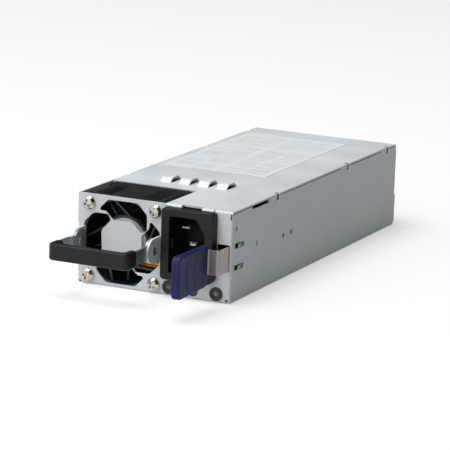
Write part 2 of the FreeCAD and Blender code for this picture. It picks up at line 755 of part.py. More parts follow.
def rating_label():
    left = LEFT + LABEL_INSET
    end = REAR - LABEL_TO_REAR
    return prism("xy", rectangle(left, left + LABEL_WIDTH, end - LABEL_LENGTH, end, 1.0),
                 HEIGHT, HEIGHT + LABEL_THICKNESS)


# ---------------------------------------------------------------- rear panel
def hexagon(x, z):
    radius = VENT_ACROSS / 2 / math.cos(math.pi / 6)
    points = []
    for corner in range(6):
        angle = math.radians(60 * corner + 30)
        points.append((x + radius * math.cos(angle), z + radius * math.sin(angle)))
    return points


def vent_holes():
    """Staggered hexagons over the panel above the card edge."""
    holes = []
    row_pitch = VENT_PITCH * math.cos(math.pi / 6)
    lowest = BOARD_TOP + VENT_PITCH
    for row in range(VENT_ROWS):
        columns = VENT_COLUMNS - row % 2
        for column in range(columns):
            x = (column - (columns - 1) / 2) * VENT_PITCH
            z = lowest + row * row_pitch
            holes.append(prism("xz", hexagon(x, z), PANEL_REAR - SHEET, PANEL_REAR))
    return holes


def rear_panel():
    """Vented rear sheet with a flange folded forward along each side wall."""
    left = LEFT + SHEET + FIT
    right = RIGHT - SHEET - FIT
    front = PANEL_REAR - PANEL_FLANGE
    low = SHEET + BEND_INSIDE
    top = rear_slope(COVER_SHEET)[1][1] - FIT
    channel = [
        (left, front),
        (left, PANEL_REAR, BEND),
        (right, PANEL_REAR, BEND),
        (right, front),
        (right - SHEET, front),
        (right - SHEET, PANEL_REAR - SHEET, BEND_INSIDE),
        (left + SHEET, PANEL_REAR - SHEET, BEND_INSIDE),
        (left + SHEET, front),
    ]
    panel = prism("xy", channel, REAR_NOSE_RADIUS, top)
    half = TONGUE_WIDTH / 2 + 1.2
    slot = box(-half, half, PANEL_REAR - SHEET, PANEL_REAR, low, BOARD_TOP + 1.2)
    return without(panel, [slot] + vent_holes())


# ---------------------------------------------------------------- fan
def fan_strut(index):
    """Thin swept bar from the motor base to the bore."""
    inner = math.radians(92 - STRUT_SWEEP / 2 + index * 360 / STRUTS)
    outer = math.radians(92 + STRUT_SWEEP / 2 + index * 360 / STRUTS)
    near = Vec(math.cos(inner), 0, math.sin(inner)) * (MOTOR_RADIUS - 0.6)
    far = Vec(math.cos(outer), 0, math.sin(outer)) * (FAN_BORE + 0.6)
    length = (far - near).Length
    bar = Part.makeBox(length, STRUT_DEPTH, STRUT_WIDTH, Vec(0, 0, -STRUT_WIDTH / 2))
    angle = math.degrees(math.atan2(far.z - near.z, far.x - near.x))
    bar.rotate(Vec(0, 0, 0), Vec(0, -1, 0), angle)
    bar.translate(Vec(FAN_X + near.x, MOTOR_FRONT, FAN_Z + near.z))
    return bar


def fan_frame():
    """Square flanges joined by a flat-sided barrel and four screw posts, with the motor base."""
    half = FAN_SIZE / 2
    square = rectangle(FAN_X - half, FAN_X + half, FAN_Z - half, FAN_Z + half, FAN_CORNER)
    envelope = prism("xz", square, FAN_FRONT, FAN_BACK)
    solids = [
        prism("xz", square, FAN_FRONT, FAN_FRONT + FAN_FLANGE),
        prism("xz", square, FAN_BACK - FAN_FLANGE, FAN_BACK),
        rod_y(FAN_BARREL, FAN_X, FAN_FRONT, FAN_BACK, FAN_Z).common(envelope),
    ]
    for x, z in FAN_SCREWS_AT:
        solids.append(rod_y(FAN_POST, x, FAN_FRONT, FAN_BACK, z).common(envelope))
    frame = all_of(solids)
    cutters = [rod_y(FAN_BORE, FAN_X, FAN_FRONT, FAN_BACK, FAN_Z)]
    for x, z in FAN_SCREWS_AT:
        cutters.append(rod_y(FAN_HOLE, x, FAN_FRONT, FAN_BACK, z))
    frame = frame.cut(cutters)
    base = rod_y(MOTOR_RADIUS, FAN_X, MOTOR_FRONT, MOTOR_BACK, FAN_Z)
    sleeve_end = HUB_BACK - HUB_WALL - HUB_GAP
    sleeve = rod_y(SLEEVE_RADIUS, FAN_X, MOTOR_FRONT, sleeve_end, FAN_Z)
    struts = [fan_strut(index) for index in range(STRUTS)]
    frame = all_of([frame, base, sleeve] + struts)
    bore = rod_y(BEARING_RADIUS, FAN_X, MOTOR_FRONT + 1.0, sleeve_end, FAN_Z)
    return frame.cut([bore, wire_notch()])


def wire_notch():
    """Notch from the bore out through the front flange for the wires."""
    side = FAN_X + FAN_SIZE / 2
    high = FAN_Z - WIRE_DROP + WIRE_PITCH
    low = FAN_Z - WIRE_DROP - WIRES * WIRE_PITCH
    return box(side - 5.6, side, FAN_FRONT, MOTOR_BACK + 0.3, low, high)


def fan_badge():
    return rod_y(BADGE_RADIUS, FAN_X, MOTOR_FRONT - BADGE_THICKNESS, MOTOR_FRONT, FAN_Z)


def fan_circuit():
    """Motor board on the back of the motor base."""
    end = MOTOR_BACK + CIRCUIT_THICKNESS
    disc = rod_y(MOTOR_RADIUS - CIRCUIT_MARGIN, FAN_X, MOTOR_BACK, end, FAN_Z)
    return disc.cut(rod_y(SLEEVE_RADIUS, FAN_X, MOTOR_BACK, end, FAN_Z))


def fan_bearing():
    sleeve_end = HUB_BACK - HUB_WALL - HUB_GAP
    sleeve = rod_y(BEARING_RADIUS, FAN_X, MOTOR_FRONT + 1.0, sleeve_end, FAN_Z)
    return sleeve.cut(rod_y(SHAFT_RADIUS + SHAFT_CLEARANCE, FAN_X, MOTOR_FRONT, HUB_BACK, FAN_Z))


def fan_shaft():
    return rod_y(SHAFT_RADIUS, FAN_X, MOTOR_FRONT + 1.4, HUB_BACK - HUB_WALL / 2, FAN_Z)


def fan_magnet():
    outer = HUB_RADIUS - HUB_WALL
    inner = outer - MAGNET_THICKNESS
    start = HUB_BACK - HUB_WALL - STATOR_LENGTH - 3.0
    end = HUB_BACK - HUB_WALL - 0.5
    return rod_y(outer, FAN_X, start, end, FAN_Z).cut(rod_y(inner, FAN_X, start, end, FAN_Z))


def fan_stator():
    """Laminated poles with a coil block on each, on the bearing sleeve."""
    start = HUB_BACK - HUB_WALL - STATOR_LENGTH - 2.0
    end = start + STATOR_LENGTH
    hub = BEARING_RADIUS + 2.0
    core = [rod_y(hub, FAN_X, start, end, FAN_Z)]
    for index in range(STATOR_POLES):
        arm = box(FAN_X, FAN_X + STATOR_RADIUS, start, end, FAN_Z - 1.2, FAN_Z + 1.2)
        coil = box(FAN_X + hub - 0.6, FAN_X + STATOR_RADIUS - 1.2, start - 0.6, end + 0.6,
                   FAN_Z - 2.0, FAN_Z + 2.0)
        for piece in (arm, coil):
            piece.rotate(Vec(FAN_X, 0, FAN_Z), Vec(0, 1, 0), index * 360 / STATOR_POLES)
            core.append(piece)
    return all_of(core).cut(rod_y(SLEEVE_RADIUS, FAN_X, start, end, FAN_Z))


def blade_section(radial, turn, twist):
    """Flat cambered section of a blade, square to the radius that points along turn."""
    swings = (0.0, 0.4 * BLADE_SWING, BLADE_SWING + twist)
    lengths = (HUB_FRONT + 1.0, (HUB_FRONT + HUB_BACK) / 2, HUB_BACK - 1.0)
    cos = math.cos(math.radians(turn))
    sin = math.sin(math.radians(turn))

    def side(offset):
        points = []
        for swing, y in zip(swings, lengths):
            across = radial * math.radians(swing - BLADE_SWING / 2) + offset
            points.append(Vec(FAN_X + radial * cos - across * sin, y,
                              FAN_Z + radial * sin + across * cos))
        return points

    front = side(-BLADE_THICKNESS / 2)
    back = side(BLADE_THICKNESS / 2)
    return Part.Wire([
        Part.Arc(*front).toShape(),
        Part.makeLine(front[2], back[2]),
        Part.Arc(back[2], back[1], back[0]).toShape(),
        Part.makeLine(back[0], front[0]),
    ])


def fan_blade(index):
    """Cambered, twisted blade from inside the hub's skin out to the tip circle."""
    turn = index * 360 / BLADES
    root = blade_section(HUB_RADIUS * 0.7, turn, 0.0)
    tip = blade_section(BLADE_TIP + 1.0, turn, BLADE_TWIST)
    blade = Part.makeLoft([root, tip], True, True)
    sweep = rod_y(BLADE_TIP, FAN_X, HUB_FRONT, HUB_BACK, FAN_Z)
    return blade.common(sweep)


def fan_impeller():
    """Cup shaped hub with twisted blades; the shaft is pressed into its rear wall."""
    cup = turned_y([(0, HUB_FRONT), (HUB_RADIUS, HUB_FRONT), (HUB_RADIUS, HUB_BACK, 1.4),
                    (0, HUB_BACK)], FAN_X, FAN_Z)
    hollow = rod_y(HUB_RADIUS - HUB_WALL, FAN_X, HUB_FRONT, HUB_BACK - HUB_WALL, FAN_Z)
    seat = rod_y(SHAFT_RADIUS, FAN_X, HUB_FRONT, HUB_BACK - HUB_WALL / 2, FAN_Z)
    blades = [fan_blade(index) for index in range(BLADES)]
    return all_of([cup] + blades).cut([hollow, seat])


def cross_recess(x, y, z, size, depth, turn):
    """Cross shaped cutter for a screw head that faces the front."""
    arm = 0.32 * size
    cross = [
        box(x - size, x + size, y, y + depth, z - arm, z + arm),
        box(x - arm, x + arm, y, y + depth, z - size, z + size),
    ]
    for bar in cross:
        bar.rotate(Vec(x, y, z), Vec(0, 1, 0), turn)
    return cross


def fan_screws():
    """Pan head screws through the front wall into the fan's corners."""
    head = SCREW_HEAD
    height = SCREW_HEAD_HEIGHT
    screws = []
    for (x, z), turn in zip(FAN_SCREWS_AT, SCREW_TURNS):
        profile = [(0, FRONT - height), (head * 0.62, FRONT - height, 1.4),
                   (head, FRONT - height * 0.35, 0.6), (head, FRONT), (FAN_HOLE, FRONT),
                   (FAN_HOLE, FRONT + SCREW_LENGTH - FAN_HOLE), (0, FRONT + SCREW_LENGTH)]
        screw = turned_y(profile, x, z)
        screws.append(screw.cut(cross_recess(x, FRONT - height, z, head * 0.6, height * 0.6, turn)))
    return group(screws)


def wire(points, radius, bend):
    """Round wire along straight runs joined by bends."""
    places = [Vec(*point) for point in points]
    edges = []
    start = places[0]
    for index in range(1, len(places) - 1):
        arc = corner_arc(places[index - 1], places[index], places[index + 1], bend)
        edges.append(Part.makeLine(start, arc[0]))
        edges.append(Part.Arc(*arc).toShape())
        start = arc[2]
    edges.append(Part.makeLine(start, places[-1]))
    ring = Part.Wire(Part.makeCircle(radius, places[0], places[1] - places[0]))
    return Part.Wire(edges).makePipeShell([ring], True, True)


def fan_wires():
    """Three wires from the motor base through the flange notch and down to the board."""
    side = FAN_X + FAN_SIZE / 2
    y = MOTOR_FRONT + MOTOR_BASE / 2
    wires = []
    for index in range(WIRES):
        drop = WIRE_DROP + index * WIRE_PITCH
        z = FAN_Z - drop
        start = FAN_X + math.sqrt(MOTOR_RADIUS ** 2 - (drop - WIRE_RADIUS) ** 2)
        land = BOARD_FRONT + 3.0 + (WIRES - index) * WIRE_PITCH
        points = [(start, y, z), (side + WIRE_OUT, y, z), (side + WIRE_OUT, land, z),
                  (side + WIRE_OUT, land, BOARD_TOP)]
        wires.append(wire(points, WIRE_RADIUS, WIRE_OUT))
    return group(wires)


# ---------------------------------------------------------------- handle
def bail_half(side):
    """Plan outline of one leg with its joggle, from the middle of the bar to the pivot eye."""
    eye_in = FAN_X + side * (LEG_FACE - BAIL_SHEET)
    eye_out = FAN_X + side * LEG_FACE
    shift = side * (PIVOT_SIDE_GAP + BAIL_SHEET)
    start = PIVOT_Y - JOGGLE_START
    end = start - JOGGLE_LENGTH
    bar = FRONT - GRIP_REACH + GRIP_BAR / 2
    inner = bar + BAIL_SHEET / 2
    outer = bar - BAIL_SHEET / 2
    return [
        (FAN_X, outer), (eye_out + shift, outer, 1.6), (eye_out + shift, end, 0.8),
        (eye_out, start, 0.8), (eye_out, PIVOT_Y), (eye_in, PIVOT_Y), (eye_in, start, 0.8),
        (eye_in + shift, end, 0.8), (eye_in + shift, inner, 0.7), (FAN_X, inner),
    ]


def handle_bail():
    """Steel strip bent to a bow, with a round eye at each end."""
    pieces = []
    for side in (-1, 1):
        low, high = sorted((FAN_X + side * (LEG_FACE - BAIL_SHEET), FAN_X + side * LEG_FACE))
        leg = prism("xy", bail_half(side), FAN_Z - BAIL_WIDTH / 2, FAN_Z + BAIL_WIDTH / 2)
        pieces.append(leg)
        pieces.append(rod_x(BAIL_EYE, low, high, PIVOT_Y, FAN_Z))
    bail = all_of(pieces)
    return bail.cut(rod_x(PIVOT_RADIUS + PIVOT_CLEARANCE, LEFT, RIGHT, PIVOT_Y, FAN_Z))


def handle_grip():
    """Moulded grip around the bow, turned back over the start of each leg."""
    outer = FRONT - GRIP_REACH
    inner = outer + GRIP_BAR
    back = outer + GRIP_RETURN
    left = FAN_X - GRIP_LENGTH / 2
    right = FAN_X + GRIP_LENGTH / 2
    end_radius = GRIP_END / 2 - 0.05
    plan = [
        (left, outer, GRIP_CORNER), (right, outer, GRIP_CORNER),
        (right, back, end_radius), (right - GRIP_END, back, end_radius),
        (right - GRIP_END, inner, 1.2), (left + GRIP_END, inner, 1.2),
        (left + GRIP_END, back, end_radius), (left, back, end_radius),
    ]
    low = FAN_Z - GRIP_HEIGHT / 2
    high = FAN_Z + GRIP_HEIGHT / 2
    grip = prism("xy", plan, low, high)

    def rim(edge):
        return not along(2, edge)

    return rounded(grip, GRIP_EDGE, rim).cut(handle_bail())


def handle_rivets():
    """Rivet at each pivot, fixed in the ear, with the bail's eye turning on its shank."""
    rivets = []
    for side in (-1, 1):
        ear_out = EAR_OFFSET + EAR_THICKNESS
        eye_in = LEG_FACE - BAIL_SHEET - PIVOT_SIDE_GAP
        small = RIVET_INNER_HEAD
        profile = [
            (eye_in - RIVET_HEAD_THICKNESS, 0),
            (eye_in - RIVET_HEAD_THICKNESS, small, 0.3),
            (eye_in, small),
            (eye_in, PIVOT_RADIUS),
            (ear_out, PIVOT_RADIUS),
            (ear_out, RIVET_HEAD),
            (ear_out + RIVET_HEAD_THICKNESS, RIVET_HEAD, 0.3),
            (ear_out + RIVET_HEAD_THICKNESS, RIVET_HEAD * 0.6),
            (ear_out + RIVET_HEAD_THICKNESS / 2, RIVET_HEAD * 0.5),
            (ear_out + RIVET_HEAD_THICKNESS / 2, 0),
        ]
        placed = [(FAN_X + side * point[0],) + tuple(point[1:]) for point in profile]
        rivets.append(turned_x(placed, PIVOT_Y, FAN_Z))
    return group(rivets)


# ---------------------------------------------------------------- mains inlet
def cavity_outline():
    """Inlet opening with its two cut corners on the right."""
    left = INLET_X - CAVITY_WIDTH / 2
    right = INLET_X + CAVITY_WIDTH / 2
    low = INLET_Z - CAVITY_HEIGHT / 2
    high = INLET_Z + CAVITY_HEIGHT / 2
    return [
        (left, low, CAVITY_CORNER),
        (right - CAVITY_CHAMFER_X, low, CAVITY_CORNER),
        (right, low + CAVITY_CHAMFER_Z, CAVITY_CORNER),
        (right, high - CAVITY_CHAMFER_Z, CAVITY_CORNER),
        (right - CAVITY_CHAMFER_X, high, CAVITY_CORNER),
        (left, high, CAVITY_CORNER),
    ]


def inlet_flange():
    half_width = INLET_FLANGE_WIDTH / 2
    half_height = INLET_FLANGE_HEIGHT / 2
    points = [
        (INLET_X - half_width, INLET_Z - half_height, INLET_CORNER),
        (INLET_X + half_width, INLET_Z - half_height, INLET_CORNER * 2),
        (INLET_X + half_width, INLET_Z + half_height, INLET_CORNER),
        (INLET_X - half_width, INLET_Z + half_height, INLET_CORNER),
    ]
    flange = prism("xz", points, INLET_FACE, FRONT)

    def front_rim(edge):
        return edge.BoundBox.YMax < INLET_FACE + 1e-6

    return rounded(flange, 0.7, front_rim)


def inlet_pin_places():
    """Centre of each pin: line and neutral, and earth nearer to the cut corners."""
    return [
        (INLET_X - PIN_SHIFT, INLET_Z - PIN_SPACING),
        (INLET_X - PIN_SHIFT, INLET_Z + PIN_SPACING),
        (INLET_X + EARTH_SHIFT, INLET_Z),
    ]


def inlet_housing():
    """Moulded inlet: flange, tube behind the wall, cavity, key, and snap clip on top."""
    half_width = BODY_WIDTH / 2
    half_height = BODY_HEIGHT / 2
    body = prism("xz", rectangle(INLET_X - half_width, INLET_X + half_width,
                                 INLET_Z - half_height, INLET_Z + half_height, 1.0),
                 FRONT, INLET_END)
    clip_top = HEIGHT - CLIP_SINK
    clip = prism("yz", [(FRONT, INLET_Z + half_height - 0.5), (FRONT, clip_top, 0.4),
                        (FRONT + CLIP_LENGTH, clip_top - 0.5, 0.4),
                        (FRONT + CLIP_LENGTH + 1.2, INLET_Z + half_height - 0.5)],
                 INLET_X - CLIP_WIDTH / 2, INLET_X + CLIP_WIDTH / 2)
    housing = all_of([inlet_flange(), body, clip])
    cavity = prism("xz", cavity_outline(), INLET_FACE, INLET_FACE + CAVITY_DEPTH)
    housing = housing.cut(cavity)
    wall = INLET_X - CAVITY_WIDTH / 2
    key_start = INLET_FACE + KEY_SETBACK
    key = prism("yz", [(key_start, INLET_Z - KEY_HEIGHT / 2, 0.4),
                       (key_start + KEY_LENGTH, INLET_Z - KEY_HEIGHT / 2, KEY_HEIGHT * 0.45),
                       (key_start + KEY_LENGTH, INLET_Z + KEY_HEIGHT / 2, KEY_HEIGHT * 0.45),
                       (key_start, INLET_Z + KEY_HEIGHT / 2, 0.4)],
                wall - 0.5, wall + KEY_RISE)
    housing = all_of([housing, key])
    holes = []
    for x, z in inlet_pin_places():
        holes.append(pin_bar(x, z, INLET_FACE, INLET_END))
    return housing.cut(holes)


def pin_bar(x, z, y0, y1):
    return box(x - PIN_WIDTH / 2, x + PIN_WIDTH / 2, y0, y1,
               z - PIN_THICKNESS / 2, z + PIN_THICKNESS / 2)


def inlet_pins():
    """Flat pins with chamfered tips and a narrower spade terminal behind."""
    pins = []
    for x, z in inlet_pin_places():
        tip = INLET_FACE + PIN_TIP_DEPTH
        bar = pin_bar(x, z, tip, INLET_END)

        def tip_rim(edge):
            return edge.BoundBox.YMax < tip + 1e-6

        rim = [edge for edge in bar.Edges if tip_rim(edge)]
        bar = bar.makeChamfer(PIN_TIP, rim)
        spade = box(x - PIN_WIDTH / 2, x + PIN_WIDTH / 2, INLET_END, INLET_END + TERMINAL_LENGTH,
                    z - TERMINAL_THICKNESS / 2, z + TERMINAL_THICKNESS / 2)
        pins.append(all_of([bar, spade]))
    return group(pins)


# ---------------------------------------------------------------- front row
def front_rivets():
    """Black blind rivets with a raised rim round the centre."""
    rivets = []
    for x in RIVETS_X:
        face = FRONT - BLACK_RIVET_PROUD
        shank = MANDREL + RIVET_TUBE
        profile = [
            (MANDREL, face + 0.25), (MANDREL + 0.5, face + 0.25), (MANDREL + 0.5, face),
            (BLACK_RIVET, face, 0.35), (BLACK_RIVET, FRONT), (shank, FRONT),
            (shank, FRONT + SHEET), (shank + 0.5, FRONT + SHEET), (shank + 0.5, FRONT + RIVET_DEPTH),
            (MANDREL, FRONT + RIVET_DEPTH),
        ]
        rivets.append(turned_y(profile, x, ROW_HEIGHT))
    return group(rivets)


def rivet_mandrels():
    mandrels = []
    for x in RIVETS_X:
        face = FRONT - BLACK_RIVET_PROUD
        profile = [(0, face + 0.45), (MANDREL * 0.5, face + 0.2), (MANDREL, face + 0.5),
                   (MANDREL, FRONT + RIVET_DEPTH), (0, FRONT + RIVET_DEPTH)]
        mandrels.append(turned_y(profile, x, ROW_HEIGHT))
    return group(mandrels)


def led_lens():
    """Round light pipe with a collar behind the front wall."""
    face = FRONT + 0.25
    profile = [(0, face), (LENS_RADIUS, face, 0.4), (LENS_RADIUS, FRONT + SHEET),
               (LENS_RADIUS + 0.2, FRONT + SHEET), (LENS_RADIUS + 0.2, FRONT + SHEET + 1.0),
               (1.2, FRONT + SHEET + 1.0), (1.2, FRONT + SHEET + LENS_LENGTH),
               (0, FRONT + SHEET + LENS_LENGTH)]
    return turned_y(profile, LENS_X, ROW_HEIGHT)


# ---------------------------------------------------------------- latch
def latch_barb_heights():
    """Middle height of the two barbs at the strap's edges."""
    reach = STRAP_WIDTH / 2 - BARB_WIDTH / 2 + 0.2
    return (STRAP_MIDDLE - reach, STRAP_MIDDLE + reach)


def strap_outline():
    """Plan of the strap: straight run, outer bend, sideways step and tongue in the paddle."""
    bend_y = FRONT - STRAP_REACH
    tongue_x = STRAP_OUTER - STRAP_STEP
    tip = bend_y - STRAP_TONGUE
    tail = FRONT + STRAP_TAIL
    inside = STRAP_BEND
    outside = STRAP_BEND + STRAP
    return [
        (STRAP_OUTER, tail),
        (STRAP_OUTER, bend_y, outside),
        (tongue_x, bend_y, inside),
        (tongue_x, tip),
        (tongue_x - STRAP, tip),
        (tongue_x - STRAP, bend_y + STRAP, outside),
        (STRAP_INNER, bend_y + STRAP, inside),
        (STRAP_INNER, tail),
    ]


def latch_barb(height):
    """Ear of the strap bent out through a side window; its steep edge faces the front."""
    start = FRONT + BARB_START
    end = start + BARB_LENGTH
    peak = RIGHT + BARB_PROUD
    ramp = [
        (STRAP_INNER, end + 1.0),
        (STRAP_OUTER, end + 1.0),
        (peak, start + 0.3, 0.15),
        (peak - STRAP * 0.6, start, 0.1),
        (STRAP_INNER, end - 1.2),
    ]
    return prism("xy", ramp, height - BARB_WIDTH / 2, height + BARB_WIDTH / 2)


def latch_spring():
    """Stainless strap riveted at its rear end; its barbs lock in the bay."""
    low = STRAP_MIDDLE - STRAP_WIDTH / 2
    high = STRAP_MIDDLE + STRAP_WIDTH / 2
    strap = prism("xy", strap_outline(), low, high)
    start = FRONT + BARB_START
    strap_cuts = []
    barbs = []
    for height in latch_barb_heights():
        strap_cuts.append(box(STRAP_INNER, STRAP_OUTER, start - 0.5, start + BARB_LENGTH,
                              height - BARB_WIDTH / 2 - 0.3, height + BARB_WIDTH / 2 + 0.3))
        barbs.append(latch_barb(height))
    for reach in LATCH_RIVETS:
        strap_cuts.append(rod_x(LATCH_RIVET_RADIUS + 0.35, STRAP_INNER, STRAP_OUTER,
                                FRONT + reach, STRAP_MIDDLE))
    return all_of([strap.cut(strap_cuts)] + barbs)


def paddle_face(y):
    """Half the paddle's thickness at y: a wedge that is thickest at its tip."""
    share = (y - PADDLE_TIP) / PADDLE_LENGTH
    thickness = PADDLE_TIP_THICKNESS + share * (PADDLE_ROOT_THICKNESS - PADDLE_TIP_THICKNESS)
    return thickness / 2


def paddle_groove(index):
    """Scallop in the paddle's outer face: a curved step that bulges towards the tip, and a
    floor that ramps back up to the face behind it."""
    start = PADDLE_TIP + GROOVE_START + index * GROOVE_PITCH
    end = start + GROOVE_RAMP
    deep = PADDLE_X + paddle_face(start) - GROOVE_DEPTH
    shallow = PADDLE_X + paddle_face(end)
    above = PADDLE_X + PADDLE_TIP_THICKNESS
    ramp = prism("xy", [(deep, start), (above, start), (above, end), (shallow, end)],
                 PADDLE_MIDDLE - GROOVE_RADIUS, PADDLE_MIDDLE + GROOVE_RADIUS)
    return ramp.common(rod_x(GROOVE_RADIUS, PADDLE_X, above, start + GROOVE_RADIUS, PADDLE_MIDDLE))


def latch_paddle():
    """Moulded wedge with a thick tip and scalloped grip grooves, round the strap's tongue."""
    root = PADDLE_BACK - PADDLE_ROOT_GAP
    low = PADDLE_MIDDLE - PADDLE_HEIGHT / 2
    high = PADDLE_MIDDLE + PADDLE_HEIGHT / 2
    side = rectangle(PADDLE_TIP, root, low, high, PADDLE_END_RADIUS)
    tip = paddle_face(PADDLE_TIP)
    base = paddle_face(root)
    wedge = [(PADDLE_X - tip, PADDLE_TIP), (PADDLE_X + tip, PADDLE_TIP),
             (PADDLE_X + base, root), (PADDLE_X - base, root)]
    paddle = prism("yz", side, PADDLE_X - tip, PADDLE_X + tip).common(prism("xy", wedge, low, high))

    def rim(edge):
        return not along(0, edge)

    paddle = rounded(paddle, PADDLE_EDGE, rim)
    grooves = [paddle_groove(index) for index in range(GROOVES)]
    return paddle.cut(grooves + [latch_spring()])


def latch_rivets():
    """Rivets flush in the side wall that hold the strap's rear end, with a head inside."""
    neck = STRAP_INNER - LATCH_RIVET_SLACK
    rivets = []
    for reach in LATCH_RIVETS:
        y = FRONT + reach
        shank = rod_x(LATCH_RIVET_RADIUS, neck, RIGHT - 0.2, y, STRAP_MIDDLE)
        head = rod_x(LATCH_RIVET_RADIUS + 0.9, neck - 0.8, neck, y, STRAP_MIDDLE)
        rivets.append(all_of([shank, head]))
    return group(rivets)


# ---------------------------------------------------------------- boards
def standoff_places():
    x = CASE_WIDTH / 2 - SHEET - STANDOFF_INSET
    return [
        (side * x, y)
        for side in (-1, 1)
        for y in (BOARD_FRONT + STANDOFF_INSET, BOARD_REAR - 2 * STANDOFF_INSET)
    ]


def main_board():
    """Board over the floor whose rear tongue is the card edge of the hot swap connector."""
    half = CASE_WIDTH / 2 - SHEET - BOARD_SIDE_GAP
    tongue = TONGUE_WIDTH / 2
    tip = REAR + TONGUE_REACH
    plan = [
        (-half, BOARD_FRONT), (half, BOARD_FRONT), (half, BOARD_REAR), (tongue, BOARD_REAR, 1.0),
        (tongue, tip, 1.0), (-tongue, tip, 1.0), (-tongue, BOARD_REAR, 1.0), (-half, BOARD_REAR),
    ]
    board = prism("xy", plan, BOARD_BOTTOM, BOARD_TOP)
    cut = TONGUE_CHAMFER
    wedge_low = prism("yz", [(tip - cut * 2, BOARD_BOTTOM), (tip, BOARD_BOTTOM),
                             (tip, BOARD_BOTTOM + cut)], -half, half)
    wedge_high = prism("yz", [(tip - cut * 2, BOARD_TOP), (tip, BOARD_TOP),
                              (tip, BOARD_TOP - cut)], -half, half)
    holes = [rod_z(1.6, x, y, BOARD_BOTTOM, BOARD_TOP) for x, y in standoff_places()]
    return board.cut([wedge_low, wedge_high] + holes)


def pad_row():
    """Centre and width of each contact: power pads at both ends, signal pads between."""
    signal_half = SIGNAL_PADS * SIGNAL_PITCH / 2
    places = []
    for index in range(SIGNAL_PADS):
        places.append(((index + 0.5) * SIGNAL_PITCH - signal_half, SIGNAL_PAD))
    for side in (-1, 1):
        for index in range(POWER_PADS):
            places.append((side * (signal_half + (index + 0.5) * POWER_PITCH), POWER_PAD))
    return places


def edge_contacts():
    end = REAR + TONGUE_REACH - 2 * TONGUE_CHAMFER
    pads = []
    for x, width in pad_row():
        for low in (BOARD_BOTTOM - PAD_THICKNESS, BOARD_TOP):
            pads.append(box(x - width / 2, x + width / 2, end - PAD_LENGTH, end,
                            low, low + PAD_THICKNESS))
    return group(pads)


def insulator_sheet():
    """Thin folded sheet between the floor and the board, turned up at the sides."""
    half = CASE_WIDTH / 2 - SHEET - 0.7
    rise = BOARD_BOTTOM - 0.6
    channel = [
        (-half, rise), (-half, SHEET, 0.6), (half, SHEET, 0.6), (half, rise),
        (half - INSULATOR, rise), (half - INSULATOR, SHEET + INSULATOR, 0.3),
        (-half + INSULATOR, SHEET + INSULATOR, 0.3), (-half + INSULATOR, rise),
    ]
    sheet = prism("xz", channel, BOARD_FRONT, PANEL_REAR - PANEL_FLANGE - 0.5)
    holes = [rod_z(STANDOFF_RADIUS + 0.3, x, y, 0, rise) for x, y in standoff_places()]
    return sheet.cut(holes)


def board_standoffs():
    standoffs = []
    for x, y in standoff_places():
        post = rod_z(STANDOFF_RADIUS, x, y, SHEET, BOARD_BOTTOM)
        standoffs.append(post.cut(rod_z(1.25, x, y, SHEET + 1, BOARD_BOTTOM)))
    return group(standoffs)


def board_screws():
    screws = []
    for x, y in standoff_places():
        profile = [(0, BOARD_TOP + 1.9), (1.6, BOARD_TOP + 1.9, 0.5), (2.7, BOARD_TOP + 0.8, 0.4),
                   (2.7, BOARD_TOP), (1.25, BOARD_TOP), (1.25, SHEET + 1.4), (0, SHEET + 1.4)]
        screws.append(turned_z(profile, x, y))
    return group(screws)


# ---------------------------------------------------------------- parts on the board
def toroid(x, y, outer, inner, height):
    """Wound ring lying flat on the board."""
    low = BOARD_TOP
    high = low + height
    soft = (outer - inner) * 0.3
    profile = [(inner, low, soft), (outer, low, soft), (outer, high, soft), (inner, high, soft)]
    return turned_z(profile, x, y)


def emi_choke():
    return toroid(INLET_X - EMI_SHIFT, BOARD_FRONT + EMI_MIDDLE, *EMI_RING)


def pfc_choke():
    return toroid(RIGHT - PFC_INSET, BOARD_FRONT + PFC_MIDDLE, *PFC_RING)


def output_choke():
    """Ring between the transformer and the fins of the rear sink."""
    middle = REAR_SINK_FRONT + OUTPUT_GAP + OUTPUT_RING[0]
    return toroid(OUTPUT_X, middle, *OUTPUT_RING)


def film_capacitor():
    width, length, height = FILM_SIZE
    x = LEFT + SHEET + SIDE_ROOM + RECTIFIER_WIDTH + FILM_GAP
    y = BOARD_FRONT + FILM_START
    return prism("xy", rectangle(x, x + width, y, y + length, 1.0), BOARD_TOP, BOARD_TOP + height)


def line_wires():
    """Wires from the inlet's terminals back and down to the front edge of the board."""
    wires = []
    start = INLET_END + TERMINAL_LENGTH
    for x, z in inlet_pin_places():
        land = BOARD_FRONT + 2.0 + (z - BOARD_TOP) * 0.18
        points = [(x, start, z), (x, land, z), (x, land, BOARD_TOP)]
        wires.append(wire(points, 0.9, 2.5))
    return group(wires)


def bridge_rectifier():
    """Flat package with one cut corner, standing on four legs."""
    left = LEFT + SHEET + SIDE_ROOM
    right = left + RECTIFIER_WIDTH
    y = BOARD_FRONT + RECTIFIER_START
    low = BOARD_TOP + RECTIFIER_LIFT
    high = low + RECTIFIER_HEIGHT
    body = prism("xz", [(left, low), (right, low), (right, high, 1.0), (left, high, 3.0)],
                 y, y + RECTIFIER_DEPTH)
    pieces = [body]
    middle = y + RECTIFIER_DEPTH / 2
    pitch = RECTIFIER_WIDTH / 4
    for index in range(4):
        x = left + (index + 0.5) * pitch
        pieces.append(box(x - 0.5, x + 0.5, middle - 0.4, middle + 0.4, BOARD_TOP, low))
    return all_of(pieces)


def bulk_capacitors():
    """Two large cans lying end to end towards the left wall."""
    x = LEFT + SHEET + SIDE_ROOM + CAN_RADIUS
    cans = []
    for index in range(2):
        start = BOARD_FRONT + BULK_START + index * (CAN_LENGTH + CAN_GAP)
        profile = [(0, start), (CAN_RADIUS, start, 1.2), (CAN_RADIUS, start + CAN_LENGTH, 1.2),
                   (0, start + CAN_LENGTH)]
        cans.append(turned_y(profile, x, BOARD_TOP + CAN_RADIUS))
    return group(cans)


